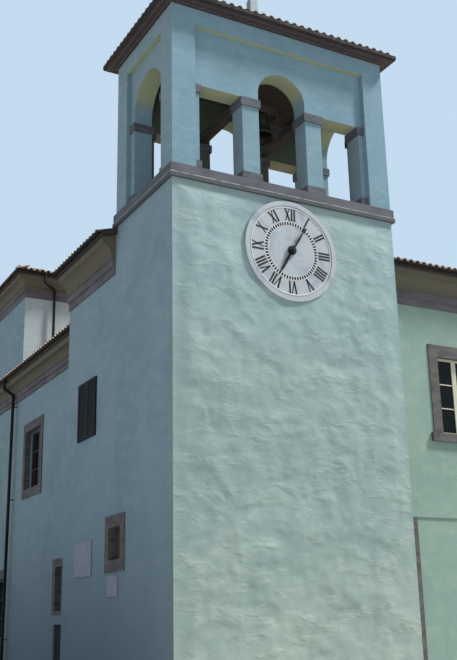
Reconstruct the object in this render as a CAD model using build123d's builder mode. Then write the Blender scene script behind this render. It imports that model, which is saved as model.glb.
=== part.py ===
from collections import namedtuple
import math
import os

from build123d import *

os.makedirs("parts", exist_ok=True)

# Tower: a plain rendered shaft, its front towards -Y. The origin is on the ground under the clock,
# in the middle of the front wall.
tower_width = 6000
tower_depth = 3240
tower_wall = 600
tower_height = 11150

# String course under the belfry
string_height = 330
string_lower_height = 110
string_lower_projection = 75
string_upper_projection = 55

# Belfry: corner piers, a sunk panel on each side, and arches or lights on piers
belfry_wall = 600
belfry_plain_height = 4140
corner_pier = 600
panel_recess = 120
panel_height = 3690
respond = 150
light_width = 1140
pier_width = 450
base_height = 250
cap_bottom = 1990
cap_height = 210
stone_projection = 40
arch_stilt = 210
side_arch_width = 1600
floor_slab = 250
ceiling_height = 3470
ceiling_board = 60

# Roofs: low pitch, clay on boards
roof_slope = 0.30
roof_slab = 150
tower_roof_slab = 90
tower_moulding_height = 150
tower_eaves = 300
edge_strip = 12
edge_strip_below = 60
edge_strip_above = 30
eaves = 400
roof_verge = 100
blank_above_eaves = 2000

# Finial on the tower roof
finial_width = 220
finial_offset = 150
finial_height = 1350
rod_radius = 14
rod_height = 2200

# Bell and what carries it
beam_size = 200
beam_bearing = 200
bearing_height = 60
bearing_length = 150
bearing_width = 130
bearing_boss_radius = 50
pin_radius = 25
pin_clearance = 0.3
bell_setback = 520
yoke_gap = 20
yoke_depth = 260
yoke_arm_half_height = 60
yoke_middle_height = 200
yoke_middle_half = 450
yoke_middle_taper = 40
yoke_throat_half = 370
pin_bite = 120
bell_height = 620
bell_mouth_radius = 400
bell_shoulder_radius = 190
bell_wall = 35
bell_lip = 60
bell_lip_height = 30
bell_waist_height = 220
bell_waist_radius = 250
bell_crown_flat = 140
bell_shoulder_drop = 55
crown_radius = 60
crown_height = 60
clapper_rod_radius = 12
clapper_ball_radius = 50

# Clock
clock_height = 9880
dial_radius = 1220
dial_thickness = 50
rim_width = 110
rim_height = 18
arbor_radius = 20
minute_arbor_radius = 14
arbor_bite = 300
hub_clearance = 0.3
hand_gap = 20
hand_thickness = 12
hub_length = 30
minute_hand_length = 620
minute_hand_angle = 31
hour_hand_length = 670
hour_hand_angle = 209.6
hour_hub_radius = 110
minute_hub_radius = 70
nut_radius = 34
nut_length = 20
nut_gap = 5
hand_root_width = 42
hour_hand_width = 68
hour_hand_shoulder_width = 52
hour_hand_tip_width = 12
minute_hand_width = 56
minute_hand_neck_width = 26
minute_hand_tip_width = 16
hand_waist = 330
hour_hand_shoulder = 520
minute_hand_tip = 60
minute_cross_length = 170
minute_cross_width = 28
hub_overlap = 20

# Front range: behind and beside the tower, flush with its left face
range_setback = 2100
range_left_end = 6500
range_length = 24000
house_wall = 550
range_eaves_height = 11010
range_cornice_height = 1040
house_band = 200
bay = 3900
first_bay = 9580

# Wing behind the range, set back from its left end, and the taller rear block
wing_setback = 540
wing_width = 6000
wing_end = 15500
wing_eaves_height = 9620
wing_cornice_height = 790
wing_band = 150
rear_setback = 1390
rear_width = 9000
rear_depth = 8000
rear_eaves_height = 14300
rear_cornice_height = 880

# Floors
ground_slab = 150
upper_slab = 300
range_floor_level = 5650
wing_floor_level = 4700
rear_top_floor_level = 9400

# Windows: stone surround, timber frame with two leaves, glass
surround_depth = 150
surround_projection = 30
surround_width = 300
lintel_height = 340
sill_height = 225
sill_overhang = 100
sill_projection = 90
flat_surround_side = 200
flat_surround_height = 270
small_surround_side = 230
small_lintel_height = 220
small_sill_height = 90
niche_surround_side = 215
niche_surround_height = 265
frame_setback = 100
flat_frame_setback = 200
small_frame_setback = 260
frame_width = 60
meeting_width = 150
frame_depth = 60
glass_thickness = 8
window_width = 1300
window_height = 2110
window_sill_level = 6460

# Shutters on the left wall
shutter_width = 1220
shutter_height = 1470
shutter_level = 6170
shutter_centre = 4960
shutter_thickness = 45
shutter_rail = 90
shutter_lap = 30
shutter_gap = 4

# Service door in the wing
door_centre = 8280
door_width = 900
door_leaf_setback = 105
door_height = 1810
door_gap = 5
door_latch_gap = 10
door_thickness = 45
knuckle_radius = 16
knuckle_height = 60
pintle_radius = 8
pintle_reach = 25

# Plaques, niche, walled-up doorway, gutters
plaque_thickness = 30
plaques = ((5025, 2860, 1150, 820), (3105, 2330, 590, 450))
niche_depth = 260
niche_centre = 3020
niche_level = 3125
niche_width = 700
niche_height = 720
portal_left = 7600
portal_width = 3740
portal_height = 4240
portal_jamb = 240
portal_recess = 30
portal_projection = 10
gutter_radius = 60
gutter_sheet = 8
gutter_drop = 20

# Downpipes: one on the rear block, down to the wing's roof, and one on the wing, down to the ground
pipe_radius = 50
pipe_sheet = 4
pipe_standoff = 150
pipe_bracket = 30
rear_outlet = 1970
rear_pipe = 2435
rear_swan_top = 400
rear_swan_bottom = 550
pipe_above_roof = 180
wing_pipe = 13000
wing_swan_top = 370
wing_swan_bottom = 570
pipe_foot = 100

# Where the main faces stand
left_x = -tower_width / 2
right_x = tower_width / 2
front_y = -tower_wall / 2
tower_back_y = front_y + tower_depth
belfry_floor_z = tower_height + string_height
range_front_y = front_y + range_setback
range_back_y = front_y + range_left_end
range_right_x = left_x + range_length
wing_left_x = left_x + wing_setback
wing_right_x = wing_left_x + wing_width
rear_front_y = front_y + wing_end
rear_left_x = left_x + rear_setback
rear_right_x = rear_left_x + rear_width
rear_back_y = rear_front_y + rear_depth


def wall_top(edge_z, slab, overhang):
    """Where the underside of a roof meets the outer face of the wall below it."""
    return edge_z - slab + roof_slope * overhang


belfry_wall_top = belfry_floor_z + belfry_plain_height + tower_moulding_height
tower_roof_edge = belfry_wall_top + tower_roof_slab - roof_slope * tower_eaves
range_wall_top = wall_top(range_eaves_height, roof_slab, eaves)
wing_wall_top = wall_top(wing_eaves_height, roof_slab, eaves)
rear_wall_top = wall_top(rear_eaves_height, roof_slab, eaves)


def block(x0, x1, y0, y1, z0, z1, mode=Mode.ADD):
    """A plain block between two corners, added to the piece being built or cut from it."""
    with Locations(((x0 + x1) / 2, (y0 + y1) / 2, (z0 + z1) / 2)):
        Box(x1 - x0, y1 - y0, z1 - z0, mode=mode)


def save(part, name):
    """Names a finished piece and writes it."""
    part.label = name
    export_step(part, f"parts/{name}.step")


# Windows, as places on a wall: the bottom centre of the opening, on the outer face
Opening = namedtuple("Opening", "normal x y z width height kind")
FRONT = (0, -1, 0)
BACK = (0, 1, 0)
LEFT = (-1, 0, 0)
RIGHT = (1, 0, 0)


def face_plane(opening):
    """The wall's outer face at an opening: x level along the wall, y up, the normal outdoors."""
    along = Vector(0, 0, 1).cross(Vector(*opening.normal))
    return Plane(origin=(opening.x, opening.y, opening.z), x_dir=along, z_dir=opening.normal)


# How far each kind's stone surround reaches beside, above and below the opening
surround_sizes = {
    "sill": (surround_width, lintel_height, sill_height),
    "flat": (flat_surround_side, flat_surround_height, flat_surround_height),
    "small": (small_surround_side, small_lintel_height, small_sill_height),
    "niche": (niche_surround_side, niche_surround_height, niche_surround_height),
}

# How far back from the wall's face each kind's frame stands
frame_setbacks = {
    "sill": frame_setback,
    "flat": flat_frame_setback,
    "small": small_frame_setback,
    "shutter": frame_setback,
}


def cut_opening(opening):
    """Cuts an opening through the wall being built, with the rebate for its stone surround."""
    plane = face_plane(opening)
    with BuildSketch(plane) as hole:
        with Locations((0, opening.height / 2)):
            Rectangle(opening.width, opening.height)
    depth = niche_depth if opening.kind == "niche" else house_wall + tower_wall
    extrude(hole.sketch, amount=-depth, mode=Mode.SUBTRACT)
    if opening.kind == "shutter":
        return
    beside, above, below = surround_sizes[opening.kind]
    with BuildSketch(plane) as rebate:
        with Locations((0, (opening.height + above - below) / 2)):
            Rectangle(opening.width + 2 * beside, opening.height + above + below)
    extrude(rebate.sketch, amount=-surround_depth, mode=Mode.SUBTRACT)


def stone_surround(opening):
    """A stone frame let into the wall, with a projecting sill on the tall front windows."""
    beside, above, below = surround_sizes[opening.kind]
    plane = face_plane(opening)
    with BuildPart() as stone:
        with BuildSketch(plane.offset(-surround_depth)):
            with Locations((0, (opening.height + above - below) / 2)):
                Rectangle(opening.width + 2 * beside, opening.height + above + below)
            with Locations((0, opening.height / 2)):
                Rectangle(opening.width, opening.height, mode=Mode.SUBTRACT)
        extrude(amount=surround_depth + surround_projection)
        if opening.kind == "sill":
            with BuildSketch(plane):
                with Locations((0, -sill_height / 2)):
                    Rectangle(opening.width + 2 * (beside + sill_overhang), sill_height)
            extrude(amount=sill_projection)
    return stone.part


def window_frame(opening):
    """The fixed timber frame with its two leaves closed, as one flat piece of joinery."""
    leaf = (opening.width - meeting_width) / 2 - frame_width
    setback = frame_setbacks[opening.kind]
    with BuildPart() as frame:
        with BuildSketch(face_plane(opening).offset(-setback - frame_depth)):
            with Locations((0, opening.height / 2)):
                Rectangle(opening.width, opening.height)
                with GridLocations(leaf + meeting_width, 0, 2, 1):
                    Rectangle(leaf, opening.height - 2 * frame_width, mode=Mode.SUBTRACT)
        extrude(amount=frame_depth)
    return frame.part


def window_panes(opening):
    """One sheet of glass in each leaf, in the middle of the frame's depth."""
    leaf = (opening.width - meeting_width) / 2 - frame_width
    middle = -frame_setbacks[opening.kind] - (frame_depth + glass_thickness) / 2
    with BuildPart() as glass:
        with BuildSketch(face_plane(opening).offset(middle)):
            with Locations((0, opening.height / 2)):
                with GridLocations(leaf + meeting_width, 0, 2, 1):
                    Rectangle(leaf, opening.height - 2 * frame_width)
        extrude(amount=glass_thickness)
    return glass.part


# Window schedule, storey by storey
lower_window_level = 1470
wing_upper_level = 5810
rear_top_level = 10300
wing_window_width = 1500
wing_window_height = 1800
pantry_bay = front_y + 8130
pantry_level = 2150
pantry_width = 940
pantry_height = 1160
rear_bay = 3000
rear_left_bay = 5000
bay_centres = [left_x + first_bay + bay * number for number in range(4)]
wing_near_bay = front_y + 11100
wing_far_bay = front_y + 14350
rear_middle_x = (rear_left_x + rear_right_x) / 2
rear_middle_y = (rear_front_y + rear_back_y) / 2


def tall_window(normal, x, y, level):
    """A tall window of the front range, with a projecting sill."""
    return Opening(normal, x, y, level, window_width, window_height, "sill")


def wing_window(normal, x, y, level):
    """A window of the wing or the rear block, with a flat surround."""
    return Opening(normal, x, y, level, wing_window_width, wing_window_height, "flat")


range_front_openings = [
    tall_window(FRONT, centre, range_front_y, window_sill_level) for centre in bay_centres
]
range_front_openings += [
    tall_window(FRONT, centre, range_front_y, lower_window_level) for centre in bay_centres[1:]
]
range_back_openings = [
    tall_window(BACK, centre, range_back_y, level)
    for centre in bay_centres
    for level in (lower_window_level, window_sill_level)
]
shutter_window = Opening(
    LEFT,
    left_x,
    front_y + shutter_centre,
    shutter_level + shutter_lap,
    shutter_width - 2 * shutter_lap,
    shutter_height - 2 * shutter_lap,
    "shutter",
)
niche = Opening(LEFT, left_x, front_y + niche_centre, niche_level, niche_width, niche_height, "niche")
pantry_window = Opening(
    LEFT, wing_left_x, pantry_bay, pantry_level, pantry_width, pantry_height, "small"
)
wing_left_openings = [
    pantry_window,
    wing_window(LEFT, wing_left_x, wing_near_bay, wing_upper_level),
    wing_window(LEFT, wing_left_x, wing_far_bay, lower_window_level),
]
wing_right_openings = [
    wing_window(RIGHT, wing_right_x, place, level)
    for place in (wing_near_bay, wing_far_bay)
    for level in (lower_window_level, wing_upper_level)
]
rear_levels = (lower_window_level, wing_upper_level, rear_top_level)
rear_left_openings = [
    wing_window(LEFT, rear_left_x, rear_front_y + rear_left_bay, level) for level in rear_levels
]
rear_right_openings = [
    wing_window(RIGHT, rear_right_x, rear_middle_y + side * rear_bay / 2, level)
    for side in (-1, 1)
    for level in rear_levels
]
rear_back_openings = [
    wing_window(BACK, rear_middle_x + side * rear_bay, rear_back_y, level)
    for side in (-1, 0, 1)
    for level in rear_levels
]
glazed_openings = (
    range_front_openings
    + range_back_openings
    + wing_left_openings
    + wing_right_openings
    + rear_left_openings
    + rear_right_openings
    + rear_back_openings
)

# Tower walls
with BuildPart() as tower_front_wall:
    block(left_x, right_x, front_y, front_y + tower_wall, 0, tower_height)
    with BuildSketch(Plane.XZ.offset(-front_y)):
        with Locations((0, clock_height)):
            Circle(arbor_radius)
    extrude(amount=-arbor_bite, mode=Mode.SUBTRACT)
save(tower_front_wall.part, "tower_front_wall")

with BuildPart() as tower_left_wall:
    block(left_x, left_x + tower_wall, front_y + tower_wall, tower_back_y, 0, tower_height)
    cut_opening(niche)
save(tower_left_wall.part, "tower_left_wall")

with BuildPart() as tower_right_wall:
    block(right_x - tower_wall, right_x, front_y + tower_wall, tower_back_y, 0, tower_height)
save(tower_right_wall.part, "tower_right_wall")

with BuildPart() as tower_back_wall:
    block(
        left_x + tower_wall, right_x - tower_wall, tower_back_y - tower_wall, tower_back_y, 0, tower_height
    )
save(tower_back_wall.part, "tower_back_wall")

# String course: two stone fascias all round, through the thickness of the walls
tower_middle_y = front_y + tower_depth / 2
with BuildPart() as string_course:
    with BuildSketch(Plane.XY.offset(tower_height)):
        with Locations((0, tower_middle_y)):
            Rectangle(
                tower_width + 2 * string_lower_projection, tower_depth + 2 * string_lower_projection
            )
    extrude(amount=string_lower_height)
    with BuildSketch(Plane.XY.offset(tower_height + string_lower_height)):
        with Locations((0, tower_middle_y)):
            Rectangle(
                tower_width + 2 * string_upper_projection, tower_depth + 2 * string_upper_projection
            )
    extrude(amount=string_height - string_lower_height)
    with BuildSketch(Plane.XY.offset(tower_height)):
        with Locations((0, tower_middle_y)):
            Rectangle(tower_width - 2 * tower_wall, tower_depth - 2 * tower_wall)
    extrude(amount=string_height, mode=Mode.SUBTRACT)
save(string_course.part, "string_course")

with BuildPart() as belfry_floor:
    block(
        left_x + tower_wall,
        right_x - tower_wall,
        front_y + tower_wall,
        tower_back_y - tower_wall,
        belfry_floor_z - floor_slab,
        belfry_floor_z,
    )
save(belfry_floor.part, "belfry_floor")

# Belfry plan along the front: left edge and right edge of each pier and respond
light_left = corner_pier + respond
pier_left = light_left + light_width
arch_left = pier_left + pier_width
arch_width = tower_width - 2 * arch_left
pier_centre = tower_width / 2 - pier_left - pier_width / 2
lintel_z = belfry_floor_z + cap_bottom + cap_height
arch_centre_z = lintel_z + arch_stilt


def serliana_outline():
    """The front openings in elevation: an arch between two flat-topped lights."""
    with Locations((0, (belfry_floor_z + arch_centre_z) / 2)):
        Rectangle(arch_width, arch_centre_z - belfry_floor_z)
    with Locations((0, arch_centre_z)):
        Circle(arch_width / 2)
    for side in (-1, 1):
        middle = side * (tower_width / 2 - light_left - light_width / 2)
        with Locations((middle, (belfry_floor_z + lintel_z) / 2)):
            Rectangle(light_width, lintel_z - belfry_floor_z)


def stone_bands():
    """Heights of the base stones and of the cap stones."""
    cap_z = belfry_floor_z + cap_bottom
    return ((belfry_floor_z, belfry_floor_z + base_height), (cap_z, cap_z + cap_height))


def serliana_wall(outer_y, inward):
    """The front or back wall of the belfry, with seats cut for its base and cap stones."""
    inner_y = outer_y + inward * belfry_wall
    low, high = sorted((outer_y, inner_y))
    panel = sorted((outer_y, outer_y + inward * panel_recess))
    core = sorted((outer_y + inward * panel_recess, inner_y))
    with BuildPart() as wall:
        block(left_x, right_x, low, high, belfry_floor_z, belfry_wall_top)
        block(
            left_x + corner_pier,
            right_x - corner_pier,
            *panel,
            belfry_floor_z,
            belfry_floor_z + panel_height,
            mode=Mode.SUBTRACT,
        )
        with BuildSketch(Plane.XZ.offset(-low)) as lights:
            serliana_outline()
        extrude(lights.sketch, amount=-belfry_wall, mode=Mode.SUBTRACT)
        for low_z, high_z in stone_bands():
            for side in (-1, 1):
                for near, far in ((pier_left, arch_left), (corner_pier, light_left)):
                    edges = sorted((side * (tower_width / 2 - near), side * (tower_width / 2 - far)))
                    block(*edges, *core, low_z, high_z, mode=Mode.SUBTRACT)
        for side in (-1, 1):
            pocket = sorted((inner_y, inner_y - inward * beam_bearing))
            block(
                side * pier_centre - beam_size / 2,
                side * pier_centre + beam_size / 2,
                *pocket,
                lintel_z,
                lintel_z + beam_size,
                mode=Mode.SUBTRACT,
            )
    return wall.part


belfry_back_inner = tower_back_y - belfry_wall
save(serliana_wall(front_y, 1), "belfry_front_wall")
save(serliana_wall(tower_back_y, -1), "belfry_back_wall")

side_jamb = (tower_depth - side_arch_width) / 2


def side_arch_wall(outer_x, inward):
    """A side wall of the belfry: one round arch in a sunk panel, between the front and back walls."""
    low, high = sorted((outer_x, outer_x + inward * belfry_wall))
    panel = sorted((outer_x, outer_x + inward * panel_recess))
    core = sorted((outer_x + inward * panel_recess, outer_x + inward * belfry_wall))
    with BuildPart() as wall:
        block(low, high, front_y + belfry_wall, belfry_back_inner, belfry_floor_z, belfry_wall_top)
        block(
            *panel,
            front_y + corner_pier,
            tower_back_y - corner_pier,
            belfry_floor_z,
            belfry_floor_z + panel_height,
            mode=Mode.SUBTRACT,
        )
        with BuildSketch(Plane.YZ.offset(low)) as arch:
            with Locations((tower_middle_y, (belfry_floor_z + arch_centre_z) / 2)):
                Rectangle(side_arch_width, arch_centre_z - belfry_floor_z)
            with Locations((tower_middle_y, arch_centre_z)):
                Circle(side_arch_width / 2)
        extrude(arch.sketch, amount=belfry_wall, mode=Mode.SUBTRACT)
        for low_z, high_z in stone_bands():
            for side in (-1, 1):
                edges = sorted(
                    (
                        tower_middle_y + side * (tower_depth / 2 - corner_pier),
                        tower_middle_y + side * side_arch_width / 2,
                    )
                )
                block(*core, *edges, low_z, high_z, mode=Mode.SUBTRACT)
    return wall.part


save(side_arch_wall(left_x, 1), "belfry_left_wall")
save(side_arch_wall(right_x, -1), "belfry_right_wall")


def belfry_stones(low_z, high_z):
    """One course of stones: a block on each pier, and one on each respond and arch jamb."""
    with BuildPart() as stones:
        for outer_y, inward in ((front_y, 1), (tower_back_y, -1)):
            depth = sorted(
                (
                    outer_y + inward * (panel_recess - stone_projection),
                    outer_y + inward * (belfry_wall + stone_projection),
                )
            )
            for side in (-1, 1):
                edges = sorted(
                    (
                        side * (tower_width / 2 - pier_left + stone_projection),
                        side * (tower_width / 2 - arch_left - stone_projection),
                    )
                )
                block(*edges, *depth, low_z, high_z)
                edges = sorted(
                    (
                        side * (tower_width / 2 - corner_pier),
                        side * (tower_width / 2 - light_left - stone_projection),
                    )
                )
                block(*edges, *depth, low_z, high_z)
        for outer_x, inward in ((left_x, 1), (right_x, -1)):
            depth = sorted(
                (
                    outer_x + inward * (panel_recess - stone_projection),
                    outer_x + inward * (belfry_wall + stone_projection),
                )
            )
            for side in (-1, 1):
                edges = sorted(
                    (
                        tower_middle_y + side * (tower_depth / 2 - corner_pier),
                        tower_middle_y + side * (side_arch_width / 2 - stone_projection),
                    )
                )
                block(*depth, *edges, low_z, high_z)
    return stones.part


base_band, cap_band = stone_bands()
save(belfry_stones(*base_band), "belfry_bases")
save(belfry_stones(*cap_band), "belfry_caps")

with BuildPart() as belfry_ceiling:
    block(
        left_x + belfry_wall,
        right_x - belfry_wall,
        front_y + belfry_wall,
        belfry_back_inner,
        belfry_floor_z + ceiling_height,
        belfry_floor_z + ceiling_height + ceiling_board,
    )
save(belfry_ceiling.part, "belfry_ceiling")


def roof_mass(x0, x1, y0, y1, edge_z, sides):
    """All that lies under a pitched roof, down to the ground: a block cut by one sloping plane at each
    of its eaves."""
    rise = roof_slope * max(x1 - x0, y1 - y0)
    cuts = {
        "front": Plane(origin=(0, y0, edge_z), x_dir=(1, 0, 0), z_dir=(0, -roof_slope, 1)),
        "back": Plane(origin=(0, y1, edge_z), x_dir=(1, 0, 0), z_dir=(0, roof_slope, 1)),
        "left": Plane(origin=(x0, 0, edge_z), x_dir=(0, 1, 0), z_dir=(-roof_slope, 0, 1)),
        "right": Plane(origin=(x1, 0, edge_z), x_dir=(0, 1, 0), z_dir=(roof_slope, 0, 1)),
    }
    with BuildPart() as mass:
        block(x0, x1, y0, y1, 0, edge_z + rise)
        for side in sides:
            split(bisect_by=cuts[side], keep=Keep.BOTTOM)
    return mass.part


def roof_shell(x0, x1, y0, y1, edge_z, slab, sides):
    """A pitched roof of even thickness, open below, with upright edges."""
    with BuildPart() as shell:
        add(roof_mass(x0, x1, y0, y1, edge_z, sides))
        add(roof_mass(x0, x1, y0, y1, edge_z - slab, sides), mode=Mode.SUBTRACT)
    return shell.part


ALL_SIDES = ("front", "back", "left", "right")
tower_roof_box = (
    left_x - tower_eaves,
    right_x + tower_eaves,
    front_y - tower_eaves,
    tower_back_y + tower_eaves,
)
belfry_roof = roof_shell(*tower_roof_box, tower_roof_edge, tower_roof_slab, ALL_SIDES)
save(belfry_roof, "belfry_roof")


def moulding(points, level, profile):
    """A moulding carried along a level path, mitred at the corners. The outdoors lies to the right of
    the way the path runs. The profile's x is how far it stands out, its y the height from level."""
    run = Vector(points[1][0] - points[0][0], points[1][1] - points[0][1], 0).normalized()
    start = (points[0][0], points[0][1], level)
    section = Plane(origin=start, x_dir=run.cross(Vector(0, 0, 1)), z_dir=-run)
    with BuildPart() as piece:
        with BuildLine() as path:
            Polyline(*[(x, y, level) for x, y in points])
        with BuildSketch(section):
            add(profile)
        sweep(path=path.wires()[0], transition=Transition.RIGHT)
    return piece.part


def rectangle_path(x0, x1, y0, y1):
    """Once round a rectangle, from the middle of its front, so that every corner is mitred."""
    middle = (x0 + x1) / 2
    return [(middle, y0), (x1, y0), (x1, y1), (x0, y1), (x0, y0), (middle, y0)]


# Tower eaves: stained timber mouldings under the roof boards, stepping out in three bands
eaves_bands = ((60, -tower_moulding_height), (180, -125), (270, -100))
eaves_splay = 30
(wall_band, wall_band_z), (middle_band, middle_band_z), (soffit_reach, soffit_band_z) = eaves_bands
with BuildSketch() as tower_eaves_profile:
    with BuildLine():
        Polyline(
            (0, 0),
            (0, wall_band_z),
            (wall_band, wall_band_z),
            (wall_band + eaves_splay, middle_band_z),
            (middle_band, middle_band_z),
            (middle_band + eaves_splay, soffit_band_z),
            (soffit_reach, soffit_band_z),
            (soffit_reach, -roof_slope * soffit_reach),
            close=True,
        )
    make_face()
tower_outline = rectangle_path(left_x, right_x, front_y, tower_back_y)
save(moulding(tower_outline, belfry_wall_top, tower_eaves_profile.sketch), "belfry_eaves")

# Finial: a rendered post on the ridge with an iron rod beside it
ridge_y = tower_middle_y
ridge_z = tower_roof_edge + roof_slope * (tower_depth / 2 + tower_eaves)
tower_roof_solid = roof_mass(*tower_roof_box, tower_roof_edge, ALL_SIDES)
with BuildPart() as roof_finial:
    with BuildSketch(Plane.XY.offset(ridge_z - tower_roof_slab)):
        with Locations((finial_offset, ridge_y)):
            Rectangle(finial_width, finial_width)
    extrude(amount=finial_height + tower_roof_slab)
    with BuildSketch(Plane.XY.offset(ridge_z - tower_roof_slab)):
        with Locations((finial_offset - finial_width / 2 - rod_radius, ridge_y)):
            Circle(rod_radius)
    extrude(amount=rod_height + tower_roof_slab)
    add(tower_roof_solid, mode=Mode.SUBTRACT)
save(roof_finial.part, "roof_finial")

# Bell: two beams across the belfry on the pier caps, bearings on them near the front arch, and a
# swinging yoke whose middle is raised over the bell
bell_axis_y = front_y + belfry_wall + bell_setback
beam_top = lintel_z + beam_size
pivot_z = beam_top + bearing_height
with BuildPart() as bell_beams:
    for side in (-1, 1):
        block(
            side * pier_centre - beam_size / 2,
            side * pier_centre + beam_size / 2,
            front_y + belfry_wall - beam_bearing,
            belfry_back_inner + beam_bearing,
            lintel_z,
            beam_top,
        )
save(bell_beams.part, "bell_beams")

with BuildPart() as bell_bearings:
    for side in (-1, 1):
        middle = side * pier_centre
        with BuildSketch(Plane.YZ.offset(middle - bearing_width / 2)):
            with Locations((bell_axis_y, beam_top + bearing_height / 2)):
                Rectangle(bearing_length, bearing_height)
            with Locations((bell_axis_y, pivot_z)):
                Circle(bearing_boss_radius)
            with Locations((bell_axis_y, pivot_z)):
                Circle(pin_radius + pin_clearance, mode=Mode.SUBTRACT)
        extrude(amount=bearing_width)
save(bell_bearings.part, "bell_bearings")

yoke_half = pier_centre - beam_size / 2 - yoke_gap
yoke_bottom = pivot_z + yoke_arm_half_height
yoke_arm_bottom = pivot_z - yoke_arm_half_height
yoke_top = yoke_bottom + yoke_middle_height
pin_length = pier_centre + bearing_width / 2 - yoke_half + pin_bite
bell_plane = Plane.XZ.offset(-bell_axis_y)
with BuildPart() as bell_yoke:
    with BuildSketch(bell_plane):
        with BuildLine():
            Polyline(
                (0, yoke_bottom),
                (yoke_throat_half, yoke_bottom),
                (yoke_throat_half, yoke_arm_bottom),
                (yoke_half, yoke_arm_bottom),
                (yoke_half, yoke_bottom),
                (yoke_middle_half, yoke_bottom),
                (yoke_middle_half - yoke_middle_taper, yoke_top),
                (0, yoke_top),
                close=True,
            )
        make_face()
        mirror(about=Plane.YZ)
    extrude(amount=yoke_depth / 2, both=True)
    for side in (-1, 1):
        with BuildSketch(Plane.YZ.offset(side * (yoke_half - pin_bite))):
            with Locations((bell_axis_y, pivot_z)):
                Circle(pin_radius)
        extrude(amount=side * pin_length)
save(bell_yoke.part, "bell_yoke")

mouth_z = yoke_bottom - crown_height - bell_height
bell_top = mouth_z + bell_height
waist_z = mouth_z + bell_waist_height
shoulder_z = bell_top - bell_shoulder_drop
with BuildPart() as bell:
    with BuildSketch(bell_plane):
        with BuildLine():
            Line((0, yoke_bottom), (crown_radius, yoke_bottom))
            Line((crown_radius, yoke_bottom), (crown_radius, bell_top))
            Line((crown_radius, bell_top), (bell_crown_flat, bell_top))
            Spline(
                (bell_crown_flat, bell_top),
                (bell_shoulder_radius, shoulder_z),
                (bell_waist_radius, waist_z),
                (bell_mouth_radius, mouth_z + bell_lip_height),
                tangents=((1, 0), (0.6, -1)),
            )
            Line((bell_mouth_radius, mouth_z + bell_lip_height), (bell_mouth_radius, mouth_z))
            Line((bell_mouth_radius, mouth_z), (bell_mouth_radius - bell_lip, mouth_z))
            Spline(
                (bell_mouth_radius - bell_lip, mouth_z),
                (bell_waist_radius - bell_wall, waist_z),
                (bell_shoulder_radius - bell_wall, shoulder_z - bell_wall),
                (bell_crown_flat - bell_wall, bell_top - bell_wall),
            )
            Line((bell_crown_flat - bell_wall, bell_top - bell_wall), (0, bell_top - bell_wall))
            Line((0, bell_top - bell_wall), (0, yoke_bottom))
        make_face()
    revolve(axis=Axis((0, bell_axis_y, 0), (0, 0, 1)))
save(bell.part, "bell")

with BuildPart() as bell_clapper:
    rod_top = bell_top - bell_wall
    ball_z = mouth_z + clapper_ball_radius
    ball_meets_rod_z = ball_z + math.sqrt(clapper_ball_radius**2 - clapper_rod_radius**2)
    with BuildSketch(bell_plane):
        with BuildLine():
            Line((0, rod_top), (clapper_rod_radius, rod_top))
            Line((clapper_rod_radius, rod_top), (clapper_rod_radius, ball_meets_rod_z))
            ThreePointArc(
                (clapper_rod_radius, ball_meets_rod_z),
                (clapper_ball_radius, ball_z),
                (0, ball_z - clapper_ball_radius),
            )
            Line((0, ball_z - clapper_ball_radius), (0, rod_top))
        make_face()
    revolve(axis=Axis((0, bell_axis_y, 0), (0, 0, 1)))
save(bell_clapper.part, "bell_clapper")

# Clock: a stone dial on the wall, and two iron hands on a stepped arbor
dial_front = front_y - dial_thickness
hour_hub_y = dial_front - hand_gap
minute_hub_y = hour_hub_y - hub_length - hand_gap
nut_y = minute_hub_y - hub_length - nut_gap
with BuildPart() as clock_dial:
    with BuildSketch(Plane.XZ.offset(-front_y)):
        with Locations((0, clock_height)):
            Circle(dial_radius)
            Circle(arbor_radius, mode=Mode.SUBTRACT)
    extrude(amount=dial_thickness)
    with BuildSketch(Plane.XZ.offset(-dial_front)):
        with Locations((0, clock_height)):
            Circle(dial_radius)
            Circle(dial_radius - rim_width, mode=Mode.SUBTRACT)
    extrude(amount=rim_height)
save(clock_dial.part, "clock_dial")

with BuildPart() as clock_arbor:
    with BuildSketch(Plane.XZ.offset(-front_y - arbor_bite)):
        with Locations((0, clock_height)):
            Circle(arbor_radius)
    extrude(amount=front_y + arbor_bite - hour_hub_y + hub_length + hand_gap / 2)
    with BuildSketch(Plane.XZ.offset(-hour_hub_y)):
        with Locations((0, clock_height)):
            Circle(minute_arbor_radius)
    extrude(amount=hour_hub_y - nut_y + nut_length)
    with BuildSketch(Plane.XZ.offset(-nut_y)):
        with Locations((0, clock_height)):
            Circle(nut_radius)
    extrude(amount=nut_length)
save(clock_arbor.part, "clock_arbor")


def hand_plane(y, angle):
    """A plane at a hand's back face whose y points along the hand, clockwise from twelve."""
    turn = math.radians(angle)
    across = (math.cos(turn), 0, -math.sin(turn))
    return Plane(origin=(0, y, clock_height), x_dir=across, z_dir=(0, -1, 0))


def hand_blade(stations):
    """A hand's blade in outline, from its (distance from the arbor, width) stations."""
    right_edge = [(width / 2, reach) for reach, width in stations]
    left_edge = [(-width / 2, reach) for reach, width in reversed(stations)]
    with BuildSketch() as blade:
        with BuildLine():
            Polyline(*right_edge, *left_edge, close=True)
        make_face()
    return blade.sketch


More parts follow.
